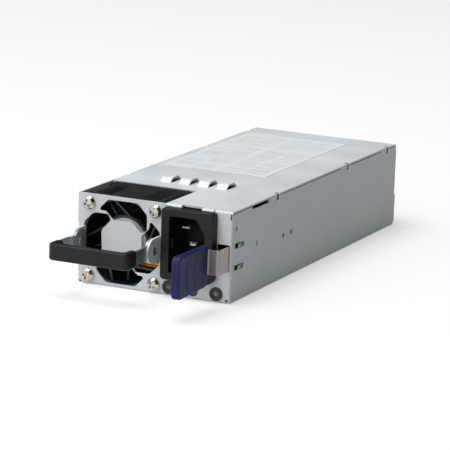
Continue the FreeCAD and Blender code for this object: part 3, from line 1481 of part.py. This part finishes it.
def heatsink(x, y0, side):
    """Upright extruded plate with fins towards one side."""
    low = BOARD_TOP
    high = WALL_TOP - SINK_TOP_GAP
    pitch = (high - low - SINK_FIN) / (SINK_FINS - 1)
    y1 = y0 + SINK_LENGTH
    tips = sorted((x + SINK_PLATE / 2, x + SINK_PLATE / 2 + side * SINK_REACH))
    sink = [box(x, x + SINK_PLATE, y0, y1, low, high)]
    for index in range(SINK_FINS):
        z = low + index * pitch
        sink.append(box(*tips, y0, y1, z, z + SINK_FIN))
    return all_of(sink)


def primary_heatsink():
    return heatsink(PRIMARY_SINK_X, SINK_FRONT, 1)


def secondary_heatsink():
    return heatsink(REAR_SINK_X, REAR_SINK_FRONT, -1)


def power_transistor(y):
    """Package with tab and three legs, flat against the primary heatsink."""
    back = PRIMARY_SINK_X
    body_low = BOARD_TOP + PACKAGE_LIFT
    body_high = body_low + PACKAGE_HEIGHT
    pieces = [
        box(back - PACKAGE_DEPTH, back, y, y + PACKAGE_WIDTH, body_low, body_high),
        box(back - 1.3, back, y, y + PACKAGE_WIDTH, body_high, body_high + PACKAGE_TAB),
    ]
    for leg in range(3):
        middle = y + PACKAGE_WIDTH / 2 + (leg - 1) * 2.54
        pieces.append(box(back - 2.6, back - 2.0, middle - 0.4, middle + 0.4, BOARD_TOP, body_low))
    return all_of(pieces)


def power_transistors():
    pitch = PACKAGE_WIDTH + PACKAGE_GAP
    return group([power_transistor(SINK_FRONT + index * pitch) for index in range(PACKAGES)])


def transformer_core():
    """Ferrite core with a round middle limb between its two legs."""
    left = TRANSFORMER_LEFT
    right = TRANSFORMER_RIGHT
    low = BOARD_TOP
    high = low + TRANSFORMER_HEIGHT
    y1 = TRANSFORMER_REAR
    y0 = y1 - TRANSFORMER_LENGTH
    block = box(left, right, y0, y1, low, high)
    window = box(left, right, y0 + TRANSFORMER_LIMB, y1 - TRANSFORMER_LIMB,
                 low + TRANSFORMER_YOKE, high - TRANSFORMER_YOKE)
    middle = rod_z(TRANSFORMER_MIDDLE, TRANSFORMER_X, (y0 + y1) / 2, low, high)
    return all_of([block.cut(window), middle])


def transformer_winding():
    """Wound bobbin round the middle limb."""
    low = BOARD_TOP + TRANSFORMER_YOKE
    high = BOARD_TOP + TRANSFORMER_HEIGHT - TRANSFORMER_YOKE
    y = TRANSFORMER_REAR - TRANSFORMER_LENGTH / 2
    inner = TRANSFORMER_MIDDLE
    outer = TRANSFORMER_LENGTH / 2 - TRANSFORMER_LIMB
    profile = [(inner, low), (outer, low), (outer, high), (inner, high)]
    return turned_z(profile, TRANSFORMER_X, y)


def output_capacitors():
    """Row of small cans in front of the card edge."""
    cans = []
    for index in range(SMALL_CANS):
        x = (index - (SMALL_CANS - 1) / 2) * SMALL_CAN_PITCH
        profile = [(0, BOARD_TOP), (SMALL_CAN, BOARD_TOP, 0.4),
                   (SMALL_CAN, BOARD_TOP + SMALL_CAN_HEIGHT, 0.6), (0, BOARD_TOP + SMALL_CAN_HEIGHT)]
        cans.append(turned_z(profile, x, BOARD_REAR - SMALL_CAN - 1.0))
    return group(cans)


def control_board():
    """Small upright card with two chips."""
    y0 = SINK_FRONT
    y1 = y0 + SINK_LENGTH
    face = CARD_X + CARD_THICKNESS
    low = BOARD_TOP + CHIP_LOW
    pitch = SINK_LENGTH / CHIPS
    pieces = [box(CARD_X, face, y0, y1, BOARD_TOP, BOARD_TOP + CARD_HEIGHT)]
    for index in range(CHIPS):
        start = y0 + index * pitch + CHIP_GAP
        end = y0 + (index + 1) * pitch - CHIP_GAP
        pieces.append(box(face, face + CHIP_THICKNESS, start, end, low, low + CHIP_HEIGHT))
    return all_of(pieces)


NODES = [
    chassis_tray, top_cover, rating_label, rear_panel,
    fan_frame, fan_badge, fan_circuit, fan_bearing, fan_stator, fan_shaft, fan_magnet,
    fan_impeller, fan_screws, fan_wires,
    handle_bail, handle_grip, handle_rivets,
    inlet_housing, inlet_pins, front_rivets, rivet_mandrels, led_lens,
    latch_spring, latch_paddle, latch_rivets,
    main_board, edge_contacts, insulator_sheet, board_standoffs, board_screws,
    emi_choke, film_capacitor, line_wires, bridge_rectifier, pfc_choke, bulk_capacitors,
    primary_heatsink, secondary_heatsink, power_transistors,
    transformer_core, transformer_winding, output_choke, output_capacitors, control_board,
]


def main():
    os.makedirs("parts", exist_ok=True)
    for make in NODES:
        make().exportStep("parts/" + make.__name__ + ".step")


main()
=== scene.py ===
"""Looks of a hot swap server power supply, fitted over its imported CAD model. Units are metres."""

import json
import math

import bmesh
import bpy
from mathutils import Matrix, Vector


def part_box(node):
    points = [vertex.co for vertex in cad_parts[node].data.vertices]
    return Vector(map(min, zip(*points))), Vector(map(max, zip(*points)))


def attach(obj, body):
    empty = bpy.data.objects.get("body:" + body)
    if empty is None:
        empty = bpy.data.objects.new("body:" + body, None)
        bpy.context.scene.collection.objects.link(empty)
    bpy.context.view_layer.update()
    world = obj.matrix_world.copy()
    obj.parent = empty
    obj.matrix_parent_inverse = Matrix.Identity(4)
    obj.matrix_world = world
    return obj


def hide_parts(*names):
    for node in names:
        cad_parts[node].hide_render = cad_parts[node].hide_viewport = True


MM = 0.001

# Camera: a long lens from the front, a little to the right and above.
CAMERA_AT = Vector((502.0, -1096.8, 284.6)) * MM
CAMERA_AIM = Vector((-7.4, -5.3, 12.5)) * MM
CAMERA_ROLL = math.radians(2.0)
CAMERA_LENS = 216.0
SENSOR_WIDTH = 36.0

# Studio: one soft lamp over the front, walls that are brightest towards the front left, and a
# floor whose own glow, added to its shaded colour, makes it white away from the object.
KEY_AT = (-0.25, -0.4, 1.65)
KEY_SIZE = 1.2
KEY_WATTS = 24.0
WORLD_TOWARDS = (-0.72, -0.68, 0.0)
WORLD_BRIGHTEST = 1.2
FLOOR_HALF = 3.0
FLOOR_GLOW = 0.45

# Label: pale bars in blocks. The tile is the unit of its pattern, and its corner is set so that
# a block's edge lies on the label's edge.
LABEL_TILE_MM = 20.0
LABEL_SHIFT_MM = (8.25, 17.5)

# Chokes: node, name of the finished piece, turns, and the wire's radius in mm.
WINDINGS = (
    ("emi_choke", "filter_winding", 26, 0.5),
    ("pfc_choke", "boost_winding", 34, 0.6),
    ("output_choke", "output_winding", 18, 0.7),
)
CORE_BORE_SHARE = 0.45      # of the core's outer radius

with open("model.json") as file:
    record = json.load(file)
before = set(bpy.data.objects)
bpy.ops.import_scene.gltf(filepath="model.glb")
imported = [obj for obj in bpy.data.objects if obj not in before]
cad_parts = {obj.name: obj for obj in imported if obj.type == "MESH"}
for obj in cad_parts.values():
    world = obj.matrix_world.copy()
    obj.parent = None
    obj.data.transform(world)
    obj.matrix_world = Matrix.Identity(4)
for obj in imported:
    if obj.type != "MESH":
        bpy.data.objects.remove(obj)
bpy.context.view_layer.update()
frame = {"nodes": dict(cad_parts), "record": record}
cad_nodes = frame["nodes"]


# ---------------------------------------------------------------- nodes and colours
def linear(colour):
    """A colour written as sRGB hex, as linear red, green, blue and alpha."""
    channels = [int(colour[start:start + 2], 16) / 255 for start in (1, 3, 5)]
    return [c / 12.92 if c <= 0.04045 else ((c + 0.055) / 1.055) ** 2.4 for c in channels] + [1.0]


def add(tree, kind, settings=(), links=()):
    """Adds a node, sets its inputs and properties by name or place, and links its inputs."""
    node = tree.nodes.new(kind)
    for name, value in dict(settings).items():
        if isinstance(name, int) or name in node.inputs:
            node.inputs[name].default_value = value
        else:
            setattr(node, name, value)
    for name, socket in dict(links).items():
        tree.links.new(socket, node.inputs[name])
    return node


def start_finish(name, colour, metallic, roughness, **more):
    """A new material with its even values set on the shader itself."""
    material = bpy.data.materials.new(name)
    material.use_nodes = True
    tree = material.node_tree
    tree.nodes.clear()
    settings = {"Base Color": linear(colour), "Metallic": metallic, "Roughness": roughness}
    settings.update({key.replace("_", " "): value for key, value in more.items()})
    shader = add(tree, "ShaderNodeBsdfPrincipled", settings)
    add(tree, "ShaderNodeOutputMaterial", {}, {"Surface": shader.outputs["BSDF"]})
    place = add(tree, "ShaderNodeTexCoord").outputs["Object"]
    return material, tree, shader, place


def per_metre(size_mm):
    """Texture scale that makes a pattern's grain about this long on the object."""
    return 1 / (size_mm * MM)


def speckle(tree, place, size_mm, detail=2.0, stretch=(1, 1, 1)):
    """Noise with grains of this size, drawn out along an axis where stretch is below 1."""
    turned = add(tree, "ShaderNodeMapping", {"Scale": stretch}, {"Vector": place})
    return add(tree, "ShaderNodeTexNoise", {"Scale": per_metre(size_mm), "Detail": detail},
               {"Vector": turned.outputs["Vector"]}).outputs["Fac"]


def vary_colour(tree, shader, fac, dark, light, low=0.35, high=0.65):
    ramp = add(tree, "ShaderNodeMapRange", {"From Min": low, "From Max": high}, {"Value": fac})
    mix = add(tree, "ShaderNodeMix", {"data_type": "RGBA", 6: linear(dark), 7: linear(light)},
              {0: ramp.outputs["Result"]})
    tree.links.new(mix.outputs[2], shader.inputs["Base Color"])
    return mix


def vary_roughness(tree, shader, fac, smooth, rough, low=0.35, high=0.65):
    ramp = add(tree, "ShaderNodeMapRange",
               {"From Min": low, "From Max": high, "To Min": smooth, "To Max": rough},
               {"Value": fac})
    tree.links.new(ramp.outputs["Result"], shader.inputs["Roughness"])


def emboss(tree, shader, fac, depth_mm, strength=1.0):
    bump = add(tree, "ShaderNodeBump", {"Strength": strength, "Distance": depth_mm * MM},
               {"Height": fac})
    tree.links.new(bump.outputs["Normal"], shader.inputs["Normal"])


# ---------------------------------------------------------------- finishes
def zinc_plated_steel(name, dark, light):
    """Cold rolled sheet with bright zinc: pale, even and slightly blue. The rolling leaves
    faint streaks along the case, and the plating's clouds change the gloss a little."""
    material, tree, shader, place = start_finish(name, light, 0.12, 0.55,
                                                 Specular_IOR_Level=0.35)
    streaks = speckle(tree, place, 0.8, 3.0, (1, 0.03, 1))
    clouds = speckle(tree, place, 30.0, 2.0)
    vary_colour(tree, shader, clouds, dark, light)
    vary_roughness(tree, shader, clouds, 0.5, 0.6)
    emboss(tree, shader, streaks, 0.004, 0.4)
    return material


def moulded_black(name, dark, light, roughness, sheen=0.3):
    """Glass filled polymer moulded in a spark eroded tool: near black, fine matt grain. The
    grain is drawn at 0.25 mm, coarser than the real 0.05 mm, so that it shows."""
    material, tree, shader, place = start_finish(name, dark, 0.0, roughness,
                                                 Specular_IOR_Level=sheen)
    grain = speckle(tree, place, 0.25)
    vary_colour(tree, shader, speckle(tree, place, 6.0), dark, light)
    vary_roughness(tree, shader, grain, roughness - 0.06, roughness + 0.08)
    emboss(tree, shader, grain, 0.02, 0.35)
    return material


def moulded_paddle():
    """Indigo ABS with a soft moulded sheen, a little paler where thumbs have polished it."""
    material, tree, shader, place = start_finish("paddle_abs", "#1B1952", 0.0, 0.55,
                                                 Specular_IOR_Level=0.28)
    grain = speckle(tree, place, 0.25)
    vary_colour(tree, shader, speckle(tree, place, 7.0), "#18164D", "#23215E")
    vary_roughness(tree, shader, grain, 0.48, 0.62)
    emboss(tree, shader, grain, 0.015, 0.3)
    return material


def brushed_metal(name, dark, light, roughness, along=(1, 0.04, 1), grain_mm=0.3,
                  metallic=1.0):
    """Strip metal with fine brush lines along its length and small changes of tone."""
    material, tree, shader, place = start_finish(name, light, metallic, roughness)
    lines = speckle(tree, place, grain_mm, 3.0, along)
    vary_colour(tree, shader, lines, dark, light)
    vary_roughness(tree, shader, lines, roughness - 0.06, roughness + 0.08)
    emboss(tree, shader, lines, 0.003, 0.2)
    return material


def plated(name, dark, light, roughness, metallic=1.0):
    """Bright plating on a turned or pressed piece: mirror like, with faint orange peel."""
    material, tree, shader, place = start_finish(name, light, metallic, roughness)
    peel = speckle(tree, place, 0.6)
    vary_colour(tree, shader, speckle(tree, place, 2.5), dark, light)
    vary_roughness(tree, shader, peel, roughness * 0.8, roughness * 1.3)
    emboss(tree, shader, peel, 0.006, 0.3)
    return material


def label_film():
    """White polyester film, satin. Pale ruled bars in blocks stand for its print."""
    material, tree, shader, place = start_finish("label_polyester", "#EAECF0", 0.0, 0.38)
    corner = add(tree, "ShaderNodeMapping",
                 {"Location": (LABEL_SHIFT_MM[0] * MM, LABEL_SHIFT_MM[1] * MM, 0.0)},
                 {"Vector": place}).outputs[0]
    bars = add(tree, "ShaderNodeTexBrick",
               {"Scale": per_metre(LABEL_TILE_MM), "Color1": (0, 0, 0, 1), "Color2": (1, 1, 1, 1),
                "Mortar": (1, 1, 1, 1), "Mortar Size": 0.042, "Mortar Smooth": 0.0,
                "Brick Width": 0.62, "Row Height": 0.13, "offset": 0.0}, {"Vector": corner})
    blocks = add(tree, "ShaderNodeTexBrick",
                 {"Scale": per_metre(LABEL_TILE_MM), "Color1": (0, 0, 0, 1), "Color2": (0, 0, 0, 1),
                  "Mortar": (1, 1, 1, 1), "Mortar Size": 0.1, "Mortar Smooth": 0.0,
                  "Brick Width": 1.25, "Row Height": 1.5, "offset": 0.0}, {"Vector": corner})
    ink = add(tree, "ShaderNodeMath", {"operation": "MAXIMUM"},
              {0: bars.outputs["Color"], 1: blocks.outputs["Color"]})
    vary_colour(tree, shader, ink.outputs[0], "#C6CAD0", "#EAECF0", 0.2, 0.9)
    emboss(tree, shader, speckle(tree, place, 0.5), 0.004, 0.3)
    return material


def solder_mask():
    """Glossy green mask over copper tracks, which show as slightly paler raised runs."""
    material, tree, shader, place = start_finish("solder_mask", "#1E5B37", 0.0, 0.28,
                                                 IOR=1.5)
    tracks = add(tree, "ShaderNodeTexBrick",
                 {"Scale": per_metre(1.0), "Color1": (0.2, 0.2, 0.2, 1), "Color2": (1, 1, 1, 1),
                  "Mortar": (0, 0, 0, 1), "Mortar Size": 0.12, "Brick Width": 7.0,
                  "Row Height": 0.9, "offset": 0.37},
                 {"Vector": place})
    vary_colour(tree, shader, tracks.outputs["Color"], "#184B2D", "#2A7048", 0.0, 1.0)
    emboss(tree, shader, tracks.outputs["Color"], 0.03, 0.3)
    return material


def enamelled_copper():
    """Round winding wire in clear amber enamel; the turns show as fine ribs."""
    material, tree, shader, place = start_finish("enamelled_copper", "#A8552B", 1.0, 0.28)
    vary_colour(tree, shader, speckle(tree, place, 1.2), "#8E4420", "#BC6A38")
    emboss(tree, shader, speckle(tree, place, 0.4), 0.02, 0.3)
    return material


def smooth_polymer(name, dark, light, roughness, grain_mm=0.5):
    """Smooth moulded or extruded polymer with small changes of tone and a faint ripple."""
    material, tree, shader, place = start_finish(name, light, 0.0, roughness)
    ripple = speckle(tree, place, grain_mm)
    vary_colour(tree, shader, speckle(tree, place, grain_mm * 8), dark, light)
    vary_roughness(tree, shader, ripple, roughness * 0.85, roughness * 1.2)
    emboss(tree, shader, ripple, 0.01, 0.3)
    return material


def sintered(name, dark, light, metallic):
    """Pressed and fired powder: dull, with an even fine grain."""
    material, tree, shader, place = start_finish(name, light, metallic, 0.62)
    grain = speckle(tree, place, 0.3, 4.0)
    vary_colour(tree, shader, grain, dark, light)
    emboss(tree, shader, grain, 0.03, 0.5)
    return material


FINISHES = {
    "zinc_sheet": zinc_plated_steel("zinc_plated_steel", "#D0D5D8", "#DADEE1"),
    "label_film": label_film(),
    "black_plastic": moulded_black("fan_polymer", "#0E0E10", "#151517", 0.45, 0.75),
    "grip_plastic": moulded_black("grip_nylon", "#121416", "#181A1C", 0.45),
    "inlet_plastic": moulded_black("inlet_nylon", "#121215", "#18181B", 0.42),
    "paddle_plastic": moulded_paddle(),
    "chrome_screw": plated("screw_nickel", "#BDB8AD", "#D2CEC4", 0.12),
    "nickel": plated("pin_nickel", "#CFCBC0", "#E0DDD3", 0.2),
    "steel_strip": brushed_metal("bail_steel", "#92969A", "#A4A8AC", 0.4, metallic=0.7),
    "spring_steel": brushed_metal("strap_stainless", "#9A928C", "#ADA59E", 0.36,
                                  metallic=0.5),
    "silver_film": plated("badge_foil", "#DADCE0", "#E8EAED", 0.35, 0.25),
    "steel": plated("ground_steel", "#A9AAAC", "#BDBEC0", 0.25),
    "sintered_bronze": sintered("bearing_bronze", "#7A5A34", "#96744A", 1.0),
    "magnet": sintered("magnet_ferrite", "#26272A", "#333438", 0.2),
    "copper": enamelled_copper(),
    # The latch rivets are near black, a painted shade for their recessed holes.
    "black_rivet": smooth_polymer("rivet_painted_shade", "#1B1B1D", "#262629", 0.4),
    "lens": smooth_polymer("smoked_lens", "#1E2022", "#26292B", 0.12),
    "circuit_board": solder_mask(),
    "gold": plated("contact_gold", "#D3A547", "#E3BC66", 0.22),
    # Black film, also made black so that the inside seen through the openings reads dark: painted
    # shade.
    "insulating_film": smooth_polymer("black_film_and_painted_shade", "#131315", "#1C1C1F", 0.5, 2.0),
    "capacitor_sleeve": smooth_polymer("sleeve_pvc", "#15161C", "#20222B", 0.3),
    "film_case": smooth_polymer("epoxy_filled_case", "#C7A61F", "#D6B634", 0.35),
    "aluminium": brushed_metal("extruded_aluminium", "#BFC1C4", "#D0D2D5", 0.4, (1, 1, 0.04)),
    "package": smooth_polymer("package_epoxy", "#18181A", "#222225", 0.5),
    "ferrite": sintered("core_ferrite", "#2A2A2D", "#3A3A3E", 0.1),
    "tape": smooth_polymer("winding_tape", "#C09A28", "#D3AE3C", 0.3),
    "wire_red": smooth_polymer("lead_pvc_red", "#A8301C", "#BE3D26", 0.4),
}
# Nodes whose finish differs from the rest of their slot: the frame is a paler copy of the rotor's
# black
# # polymer, a painted sheen for the light on its front, and the mandrels are duller than the
# inlet's pins.
NODE_FINISHES = {
    # Paler copy of the fan's black polymer: painted sheen on the frame.
    "fan_frame": moulded_black("fan_frame_polymer_painted_sheen", "#1D1E20", "#242628", 0.4, 0.7),
    "rivet_mandrels": plated("mandrel_steel", "#6A6C6F", "#7E8083", 0.38, 0.5),
}
LEAD_FINISHES = [
    FINISHES["wire_red"],
    smooth_polymer("lead_pvc_yellow", "#C9A01E", "#DDB52F", 0.4),
    smooth_polymer("lead_pvc_orange", "#BF6416", "#D27522", 0.4),
]
CORE_FINISH = sintered("powdered_iron", "#33473C", "#3F5648", 0.1)


def dress_cad_nodes():
    """Every CAD node takes its own finish, or else the finish of its slot in the record."""
    slot_of = {part["node"]: part["material_slot"] for part in frame["record"]["subparts"]}
    for name, node in cad_nodes.items():
        finish = NODE_FINISHES.get(name, FINISHES[slot_of[name]])
        for slot in node.material_slots:
            slot.material = finish
        if not node.material_slots:
            node.data.materials.append(finish)


# ---------------------------------------------------------------- wires and windings
def keep(name, mesh):
    """Links a finished mesh at the origin, as the CAD nodes are."""
    piece = bpy.data.objects.new(name, mesh)
    bpy.context.scene.collection.objects.link(piece)
    return piece


def coloured_leads():
    """The fan's three leads, each in the colour of its own insulation."""
    work = bmesh.new()
    work.from_mesh(cad_nodes["fan_wires"].data)
    bmesh.ops.remove_doubles(work, verts=work.verts, dist=0.001 * MM)
    left = set(work.faces)
    leads = []
    while left:
        wave = [left.pop()]
        lead = list(wave)
        while wave:
            near = {other for edge in wave.pop().edges for other in edge.link_faces} & left
            left -= near
            wave.extend(near)
            lead.extend(near)
        leads.append(lead)
    leads.sort(key=lambda lead: -max(face.calc_center_median().z for face in lead))
    for index, lead in enumerate(leads):
        for face in lead:
            face.material_index = index % len(LEAD_FINISHES)
            face.smooth = True
    mesh = bpy.data.meshes.new("fan_leads")
    work.to_mesh(mesh)
    work.free()
    for finish in LEAD_FINISHES:
        mesh.materials.append(finish)
    piece = keep("fan_leads", mesh)
    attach(piece, "housing")
    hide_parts("fan_wires")


def winding_tree():
    """Turns of wire spaced round a ring core, from the core's sizes and the wire's."""
    tree = bpy.data.node_groups.new("ring_winding", "GeometryNodeTree")
    face = tree.interface
    face.new_socket("Geometry", in_out="OUTPUT", socket_type="NodeSocketGeometry")
    for name in ("Core Outer", "Core Inner", "Core Height", "Wire Radius"):
        face.new_socket(name, in_out="INPUT", socket_type="NodeSocketFloat")
    face.new_socket("Turns", in_out="INPUT", socket_type="NodeSocketInt")
    face.new_socket("Wire", in_out="INPUT", socket_type="NodeSocketMaterial")
    face.new_socket("Core", in_out="INPUT", socket_type="NodeSocketMaterial")
    given = tree.nodes.new("NodeGroupInput").outputs

    reach = add(tree, "ShaderNodeMath", {"operation": "ADD"},
                {0: given["Core Outer"], 1: given["Core Inner"]}).outputs[0]
    mean = add(tree, "ShaderNodeMath", {"operation": "MULTIPLY", 1: 0.5},
               {0: reach}).outputs[0]
    width = add(tree, "ShaderNodeMath", {"operation": "SUBTRACT"},
                {0: given["Core Outer"], 1: given["Core Inner"]}).outputs[0]
    section = add(tree, "GeometryNodeCurvePrimitiveQuadrilateral", {},
                  {"Width": width, "Height": given["Core Height"]}).outputs[0]
    ring = add(tree, "GeometryNodeCurvePrimitiveCircle", {"Resolution": 64},
               {"Radius": mean}).outputs[0]
    core = add(tree, "GeometryNodeCurveToMesh", {},
               {"Curve": ring, "Profile Curve": section}).outputs[0]
    core = add(tree, "GeometryNodeSetMaterial", {},
               {"Geometry": core, "Material": given["Core"]}).outputs[0]
    across = add(tree, "ShaderNodeMath", {"operation": "MULTIPLY", 1: 2.0},
                 {0: given["Wire Radius"]}).outputs[0]
    loop_width = add(tree, "ShaderNodeMath", {"operation": "ADD"},
                     {0: width, 1: across}).outputs[0]
    loop_height = add(tree, "ShaderNodeMath", {"operation": "ADD"},
                      {0: given["Core Height"], 1: across}).outputs[0]
    loop = add(tree, "GeometryNodeCurvePrimitiveQuadrilateral", {},
               {"Width": loop_width, "Height": loop_height}).outputs[0]
    loop = add(tree, "GeometryNodeFilletCurve", {},
               {"Curve": loop, "Radius": given["Wire Radius"]}).outputs[0]
    thread = add(tree, "GeometryNodeCurvePrimitiveCircle", {"Resolution": 8},
                 {"Radius": given["Wire Radius"]}).outputs[0]
    turn = add(tree, "GeometryNodeCurveToMesh", {},
               {"Curve": loop, "Profile Curve": thread}).outputs[0]
    turn = add(tree, "GeometryNodeTransform", {"Rotation": (math.pi / 2, 0.0, 0.0)},
               {"Geometry": turn}).outputs[0]
    places = add(tree, "GeometryNodeMeshCircle", {},
                 {"Vertices": given["Turns"], "Radius": mean}).outputs[0]
    index = add(tree, "GeometryNodeInputIndex").outputs[0]
    swept = add(tree, "ShaderNodeMath", {"operation": "MULTIPLY", 1: math.tau},
                {0: index}).outputs[0]
    angle = add(tree, "ShaderNodeMath", {"operation": "DIVIDE"},
                {0: swept, 1: given["Turns"]}).outputs[0]
    facing = add(tree, "ShaderNodeCombineXYZ", {}, {"Z": angle}).outputs[0]
    turns = add(tree, "GeometryNodeInstanceOnPoints", {},
                {"Points": places, "Instance": turn, "Rotation": facing}).outputs[0]
    turns = add(tree, "GeometryNodeRealizeInstances", {}, {"Geometry": turns}).outputs[0]
    turns = add(tree, "GeometryNodeSetMaterial", {},
                {"Geometry": turns, "Material": given["Wire"]}).outputs[0]
    both = tree.nodes.new("GeometryNodeJoinGeometry")
    tree.links.new(core, both.inputs[0])
    tree.links.new(turns, both.inputs[0])
    out = tree.nodes.new("NodeGroupOutput")
    tree.links.new(both.outputs[0], out.inputs[0])
    return tree


def drop_empty_slots(mesh):
    """Leaves only the finishes that faces use, in the same order."""
    places = [face.material_index for face in mesh.polygons]
    used = sorted(set(places))
    finishes = [mesh.materials[place] for place in used]
    mesh.materials.clear()
    for finish in finishes:
        mesh.materials.append(finish)
    mesh.polygons.foreach_set("material_index", [used.index(place) for place in places])


def wound_ring(tree, node, name, turns, wire_mm):
    """A wound ring core in the room of its CAD node, standing on its foot."""
    low, high = (Vector(corner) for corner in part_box(node))
    wire = wire_mm * MM
    outer = min(high.x - low.x, high.y - low.y) / 2 - 2 * wire
    sizes = {"Core Outer": outer, "Core Inner": outer * CORE_BORE_SHARE,
             "Core Height": high.z - low.z - 4 * wire, "Wire Radius": wire, "Turns": turns,
             "Wire": FINISHES["copper"], "Core": CORE_FINISH}
    maker = keep(name + "_maker", bpy.data.meshes.new(name + "_seed"))
    modifier = maker.modifiers.new("winding", "NODES")
    modifier.node_group = tree
    for item in tree.interface.items_tree:
        if item.in_out == "INPUT":
            modifier[item.identifier] = sizes[item.name]
    graph = bpy.context.evaluated_depsgraph_get()
    mesh = bpy.data.meshes.new_from_object(maker.evaluated_get(graph))
    bpy.data.objects.remove(maker)
    mesh.name = name
    drop_empty_slots(mesh)
    mesh.transform(Matrix.Translation((low + high) / 2))
    work = bmesh.new()
    work.from_mesh(mesh)
    bmesh.ops.remove_doubles(work, verts=work.verts, dist=0.001 * MM)
    bmesh.ops.recalc_face_normals(work, faces=work.faces)
    work.to_mesh(mesh)
    work.free()
    piece = keep(name, mesh)
    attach(piece, "housing")
    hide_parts(node)


def windings():
    """The three chokes, all from one tree."""
    tree = winding_tree()
    for node, name, turns, wire_mm in WINDINGS:
        wound_ring(tree, node, name, turns, wire_mm)


# ---------------------------------------------------------------- studio
def floor_finish():
    """Plain white floor. It shows white to the camera, glossy and see-through rays, and its
    own shaded colour carries the object's soft shadow."""
    material = bpy.data.materials.new("studio_floor")
    material.use_nodes = True
    tree = material.node_tree
    tree.nodes.clear()
    paper = add(tree, "ShaderNodeBsdfDiffuse", {"Color": linear("#C2C2C2")})
    path = add(tree, "ShaderNodeLightPath")
    seen = add(tree, "ShaderNodeMath", {"operation": "MAXIMUM"},
               {0: path.outputs["Is Camera Ray"], 1: path.outputs["Is Glossy Ray"]})
    seen = add(tree, "ShaderNodeMath", {"operation": "MAXIMUM"},
               {0: seen.outputs[0], 1: path.outputs["Is Transmission Ray"]})
    lift = add(tree, "ShaderNodeMath", {"operation": "MULTIPLY", 1: FLOOR_GLOW},
               {0: seen.outputs[0]})
    glow = add(tree, "ShaderNodeEmission", {}, {"Strength": lift.outputs[0]})
    both = add(tree, "ShaderNodeAddShader", {}, {0: paper.outputs[0], 1: glow.outputs[0]})
    add(tree, "ShaderNodeOutputMaterial", {}, {"Surface": both.outputs[0]})
    return material


def studio_floor():
    mesh = bpy.data.meshes.new("studio_floor")
    corners = [(sx * FLOOR_HALF, sy * FLOOR_HALF, 0) for sx, sy in
               ((-1, -1), (1, -1), (1, 1), (-1, 1))]
    mesh.from_pydata(corners, [], [(0, 1, 2, 3)])
    mesh.materials.append(floor_finish())
    floor = bpy.data.objects.new("studio_floor", mesh)
    bpy.context.scene.collection.objects.link(floor)


def soft_light(name, at, aim, size, watts, colour="#FFFFFF"):
    lamp = bpy.data.lights.new(name, "AREA")
    lamp.shape = "SQUARE"
    lamp.size = size
    lamp.energy = watts
    lamp.color = linear(colour)[:3]
    light = bpy.data.objects.new(name, lamp)
    bpy.context.scene.collection.objects.link(light)
    light.location = at
    light.rotation_mode = "QUATERNION"
    light.rotation_quaternion = (Vector(aim) - Vector(at)).to_track_quat("-Z", "Y")


def studio_world():
    """Pale studio: the front left is lit, and the walls fall off towards the rear right."""
    world = bpy.data.worlds.new("studio")
    bpy.context.scene.world = world
    world.use_nodes = True
    tree = world.node_tree
    tree.nodes.clear()
    direction = add(tree, "ShaderNodeTexCoord").outputs["Generated"]
    along = add(tree, "ShaderNodeVectorMath", {"operation": "DOT_PRODUCT", 1: WORLD_TOWARDS},
                {0: direction})
    fall = add(tree, "ShaderNodeMapRange",
               {"From Min": -0.3, "From Max": 0.9, "To Min": 0.0, "To Max": WORLD_BRIGHTEST,
                "interpolation_type": "SMOOTHSTEP"},
               {"Value": along.outputs["Value"]})
    sky = add(tree, "ShaderNodeBackground", {"Color": linear("#FFFFFF")},
              {"Strength": fall.outputs["Result"]})
    add(tree, "ShaderNodeOutputWorld", {}, {"Surface": sky.outputs[0]})


def studio_camera():
    data = bpy.data.cameras.new("camera")
    data.lens = CAMERA_LENS
    data.sensor_width = SENSOR_WIDTH
    data.clip_start = 0.05
    data.clip_end = 20.0
    camera = bpy.data.objects.new("camera", data)
    bpy.context.scene.collection.objects.link(camera)
    look = (CAMERA_AIM - CAMERA_AT).to_track_quat("-Z", "Y").to_matrix()
    camera.matrix_world = (Matrix.Translation(CAMERA_AT)
                           @ (look @ Matrix.Rotation(CAMERA_ROLL, 3, "Z")).to_4x4())
    bpy.context.scene.camera = camera


dress_cad_nodes()
coloured_leads()
windings()
studio_floor()
studio_world()
soft_light("key", KEY_AT, (0, 0, 0), KEY_SIZE, KEY_WATTS)
studio_camera()
bpy.context.scene.view_settings.view_transform = "Standard"
